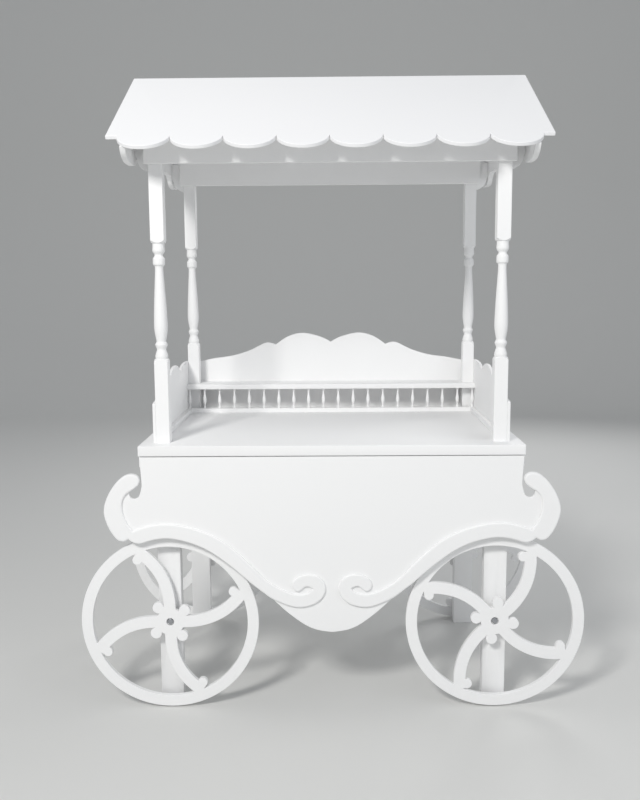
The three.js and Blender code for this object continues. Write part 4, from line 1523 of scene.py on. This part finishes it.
class CART_OT_posts(bpy.types.Operator):
    """Square posts with a turned middle"""

    bl_idname = "cart.posts"
    bl_label = "Turned posts"

    def execute(self, context):
        sizes = context.scene.cart_turnings
        low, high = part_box("post_front_left")
        half = (high.x - low.x) / 2
        z0, z3 = low.z, high.z
        z1 = z0 + sizes.lower_block
        z2 = z1 + sizes.turning
        profile = smooth_profile(
            [(r * half, z1 + h * sizes.turning) for r, h in POST_TURNING_SHARES], POST_STEPS
        )
        columns = []
        for x, y in rounded_polygon(4, half, sizes.post_ease, POST_FLAT_STEPS, POST_CORNER_STEPS):
            reach = math.hypot(x, y)
            over = reach - half
            line = [(reach, z0)]
            # A block's end is turned off to a cone, which meets its flat faces in arches
            for t in range(CONE_STEPS + 1):
                line.append((reach - over * t / CONE_STEPS, z1 - over + over * t / CONE_STEPS))
            line += [tuple(p) for p in profile]
            for t in range(CONE_STEPS + 1):
                line.append((half + over * t / CONE_STEPS, z2 + over * t / CONE_STEPS))
            line += [(reach, z3)]
            columns.append((math.atan2(y, x), line))
        shape = stacked("turned_post", columns)
        for corner in CORNERS:
            low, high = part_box(f"post_{corner}")
            middle = (low + high) / 2
            place = Matrix.Translation((middle.x, middle.y, 0))
            mesh = moved_copy(shape, f"turned_post_{corner}", place)
            add_piece(mesh.name, mesh, "cart", [f"post_{corner}"], "turned_wood")
        bpy.data.meshes.remove(shape)
        return {"FINISHED"}


class CART_OT_balustrade(bpy.types.Operator):
    """Row of turned spindles on its low rail"""

    bl_idname = "cart.balustrade"
    bl_label = "Spindles"

    def execute(self, context):
        sizes = context.scene.cart_turnings
        low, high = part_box("gallery_balustrade")
        top = low.z + sizes.low_rail
        mesh = evaluated_mesh(
            "spindle_row",
            spindle_rule(),
            {
                "Count": sizes.spindles,
                "Pitch": sizes.spindle_pitch,
                "Radius": sizes.spindle_radius,
                "Height": high.z - top + 2 * MM,
            },
        )
        mesh.transform(Matrix.Translation((0, (low.y + high.y) / 2, top - 1 * MM)))
        mesh.shade_smooth()
        mesh.set_sharp_from_angle(angle=math.radians(40))
        add_piece("spindle_row", mesh, "cart", ["gallery_balustrade"], "turned_wood")
        rail = bmesh.new()
        bmesh.ops.create_cube(rail, size=1)
        data = bpy.data.meshes.new("spindle_rail")
        rail.to_mesh(data)
        rail.free()
        scale = Matrix.Diagonal((high.x - low.x, high.y - low.y, sizes.low_rail, 1))
        middle = ((low.x + high.x) / 2, (low.y + high.y) / 2, (low.z + top) / 2)
        data.transform(Matrix.Translation(middle) @ scale)
        data.shade_smooth()
        ease = context.scene.cart_boards.frame_ease
        add_piece("spindle_rail", data, "cart", ["gallery_balustrade"], "turned_wood", ease)
        return {"FINISHED"}


class CART_OT_roof(bpy.types.Operator):
    """Roof boards with a scalloped eave, mitred at the ridge"""

    bl_idname = "cart.roof"
    bl_label = "Roof"

    def execute(self, context):
        sizes = context.scene.cart_roof
        boards = context.scene.cart_boards
        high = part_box("roof_front")[1]
        slope = math.atan2(sizes.rise, sizes.eave_reach)
        length = sizes.eave_reach / math.cos(slope)
        mesh = evaluated_mesh(
            "roof_pattern",
            eave_rule(),
            {
                "Half width": high.x,
                "Slope": length,
                "Scallops": sizes.scallops,
                "Pitch": sizes.pitch,
                "Drop": sizes.drop,
            },
        )
        loops = [
            with_eased_corners(without_repeats(loop, 0.5 * MM), boards.corner_ease)
            for loop in pattern_outline(mesh)
        ]
        bpy.data.meshes.remove(mesh)
        # The ridge is the upper corner of the mitred ends, so the board's upper face starts there
        over = 4 * sizes.thickness
        for loop in loops:
            loop[:, 1] += sizes.thickness * math.tan(slope)
            loop[loop[:, 1] > -1 * MM, 1] += over
        lean = Matrix.Rotation(slope, 4, "X")
        ease = (boards.board_ease, boards.board_ease)
        board = eased_board("scalloped_roof", loops, sizes.thickness, ease, ease)
        lift = Matrix.Translation((0, 0, -sizes.thickness))
        board.transform(Matrix.Translation((0, 0, high.z)) @ lean @ lift)
        cut_at_ridge(board, sizes.ridge_gap / 2)
        for end, turn in (("front", 0), ("rear", math.pi)):
            mesh = moved_copy(board, f"scalloped_roof_{end}", Matrix.Rotation(turn, 4, "Z"))
            add_piece(mesh.name, mesh, "cart", [f"roof_{end}"], "painted_roof")
        bpy.data.meshes.remove(board)
        return {"FINISHED"}


def cut_at_ridge(mesh, gap):
    """Saws a roof board off plumb at the ridge and closes the cut."""
    work = bmesh.new()
    work.from_mesh(mesh)
    result = bmesh.ops.bisect_plane(
        work,
        geom=[*work.verts, *work.edges, *work.faces],
        dist=1e-7,
        plane_co=(0, -gap, 0),
        plane_no=(0, 1, 0),
        clear_outer=True,
    )
    edges = [e for e in result["geom_cut"] if isinstance(e, bmesh.types.BMEdge)]
    faces = bmesh.ops.contextual_create(work, geom=edges)["faces"]
    for face in faces:
        face.smooth = False
        for edge in face.edges:
            edge.smooth = False
    work.to_mesh(mesh)
    work.free()


class CART_OT_stage(bpy.types.Operator):
    """Studio floor, backdrop, lamps and camera"""

    bl_idname = "cart.stage"
    bl_label = "Studio"

    def execute(self, context):
        scene = context.scene
        # Floor that sweeps up into a backdrop
        reach, back, curve, height = 14.0, 9.0, 3.0, 9.0
        line = [(-reach, 0.0), (back - curve, 0.0)]
        for k in range(1, FLOOR_STEPS + 1):
            a = math.pi / 2 * k / FLOOR_STEPS
            line.append((back - curve + curve * math.sin(a), curve - curve * math.cos(a)))
        line.append((back, height))
        verts = [(x, y, z) for y, z in line for x in (-reach, reach)]
        faces = [(2 * i, 2 * i + 1, 2 * i + 3, 2 * i + 2) for i in range(len(line) - 1)]
        mesh = bpy.data.meshes.new("studio_floor")
        mesh.from_pydata(verts, [], faces)
        mesh.shade_smooth()
        floor = bpy.data.objects.new("studio_floor", mesh)
        scene.collection.objects.link(floor)
        material, tree, shader, place = new_material("seamless paper")
        pores = add_node(
            tree, "ShaderNodeTexNoise", {"Vector": place, "Scale": 1 / (3 * MM), "Detail": 2.0}
        ).outputs["Fac"]
        bump = add_node(
            tree, "ShaderNodeBump", {"Height": pores, "Strength": 0.05, "Distance": 0.1 * MM}
        ).outputs["Normal"]
        tree.links.new(bump, shader.inputs["Normal"])
        shader.inputs["Base Color"].default_value = (*scene.cart_finishes.floor, 1)
        shader.inputs["Roughness"].default_value = 0.9
        mesh.materials.append(material)

        world = bpy.data.worlds.new("studio air")
        world.use_nodes = True
        air = world.node_tree.nodes["Background"]
        air.inputs["Color"].default_value = (0.93, 0.96, 1.0, 1)
        air.inputs["Strength"].default_value = 0.38
        scene.world = world

        lamps = (
            ("key", (-1.9, -4.55, 4.2), (0, 0, 1.0), 1.0, 180, (1.0, 0.99, 0.97)),
            ("fill", (4.0, -3.0, 3.0), (0, 0, 1.0), 3.0, 40, (0.95, 0.97, 1.0)),
            ("rim", (1.8, 4.6, 3.2), (0, 0, 1.0), 2.0, 65, (1.0, 1.0, 1.0)),
        )
        for name, spot, aim, size, power, colour in lamps:
            data = bpy.data.lights.new(name, "AREA")
            data.shape = "SQUARE"
            data.size = size
            data.energy = power
            data.color = colour
            lamp = bpy.data.objects.new(name, data)
            lamp.location = spot
            lamp.rotation_euler = (Vector(aim) - Vector(spot)).to_track_quat("-Z", "Y").to_euler()
            scene.collection.objects.link(lamp)

        view = bpy.data.cameras.new("camera")
        view.sensor_fit = "VERTICAL"
        view.sensor_height = 36.0
        view.lens = 40.73
        camera = bpy.data.objects.new("camera", view)
        yaw, down, roll = 0.0111, 0.1352, -0.0070
        ahead = Vector(
            (
                -math.sin(yaw) * math.cos(down),
                math.cos(yaw) * math.cos(down),
                -math.sin(down),
            )
        )
        right = Vector((math.cos(yaw), math.sin(yaw), 0))
        up = right.cross(ahead)
        across = math.cos(roll) * right + math.sin(roll) * up
        upward = -math.sin(roll) * right + math.cos(roll) * up
        turn = Matrix((across, upward, -ahead)).transposed().to_4x4()
        camera.matrix_world = Matrix.Translation((-0.0037, -3.3438, 1.4572)) @ turn
        scene.collection.objects.link(camera)
        scene.camera = camera
        scene.view_settings.view_transform = "Standard"
        return {"FINISHED"}


class CART_PT_builder(bpy.types.Panel):
    bl_label = "Candy buffet cart"
    bl_idname = "CART_PT_builder"
    bl_space_type = "VIEW_3D"
    bl_region_type = "UI"
    bl_category = "Cart"

    def draw(self, context):
        for operator in OPERATORS:
            self.layout.operator(operator.bl_idname)
        for name, group in SETTINGS.items():
            box = self.layout.box()
            for key in group.__annotations__:
                box.prop(getattr(context.scene, name), key)


OPERATORS = (
    CART_OT_straight_boards,
    CART_OT_shaped_boards,
    CART_OT_scrolls,
    CART_OT_wheels,
    CART_OT_hub_bolts,
    CART_OT_posts,
    CART_OT_balustrade,
    CART_OT_roof,
    CART_OT_stage,
)


def register():
    for group in (*SETTINGS.values(), *OPERATORS, CART_PT_builder):
        bpy.utils.register_class(group)
    for name, group in SETTINGS.items():
        setattr(bpy.types.Scene, name, bpy.props.PointerProperty(type=group))


def unregister():
    for name in SETTINGS:
        delattr(bpy.types.Scene, name)
    for group in (CART_PT_builder, *reversed(OPERATORS), *reversed(SETTINGS.values())):
        bpy.utils.unregister_class(group)


def main():
    register()
    for operator in OPERATORS:
        group, name = operator.bl_idname.split(".")
        getattr(getattr(bpy.ops, group), name)()


if __name__ == "__main__":
    main()
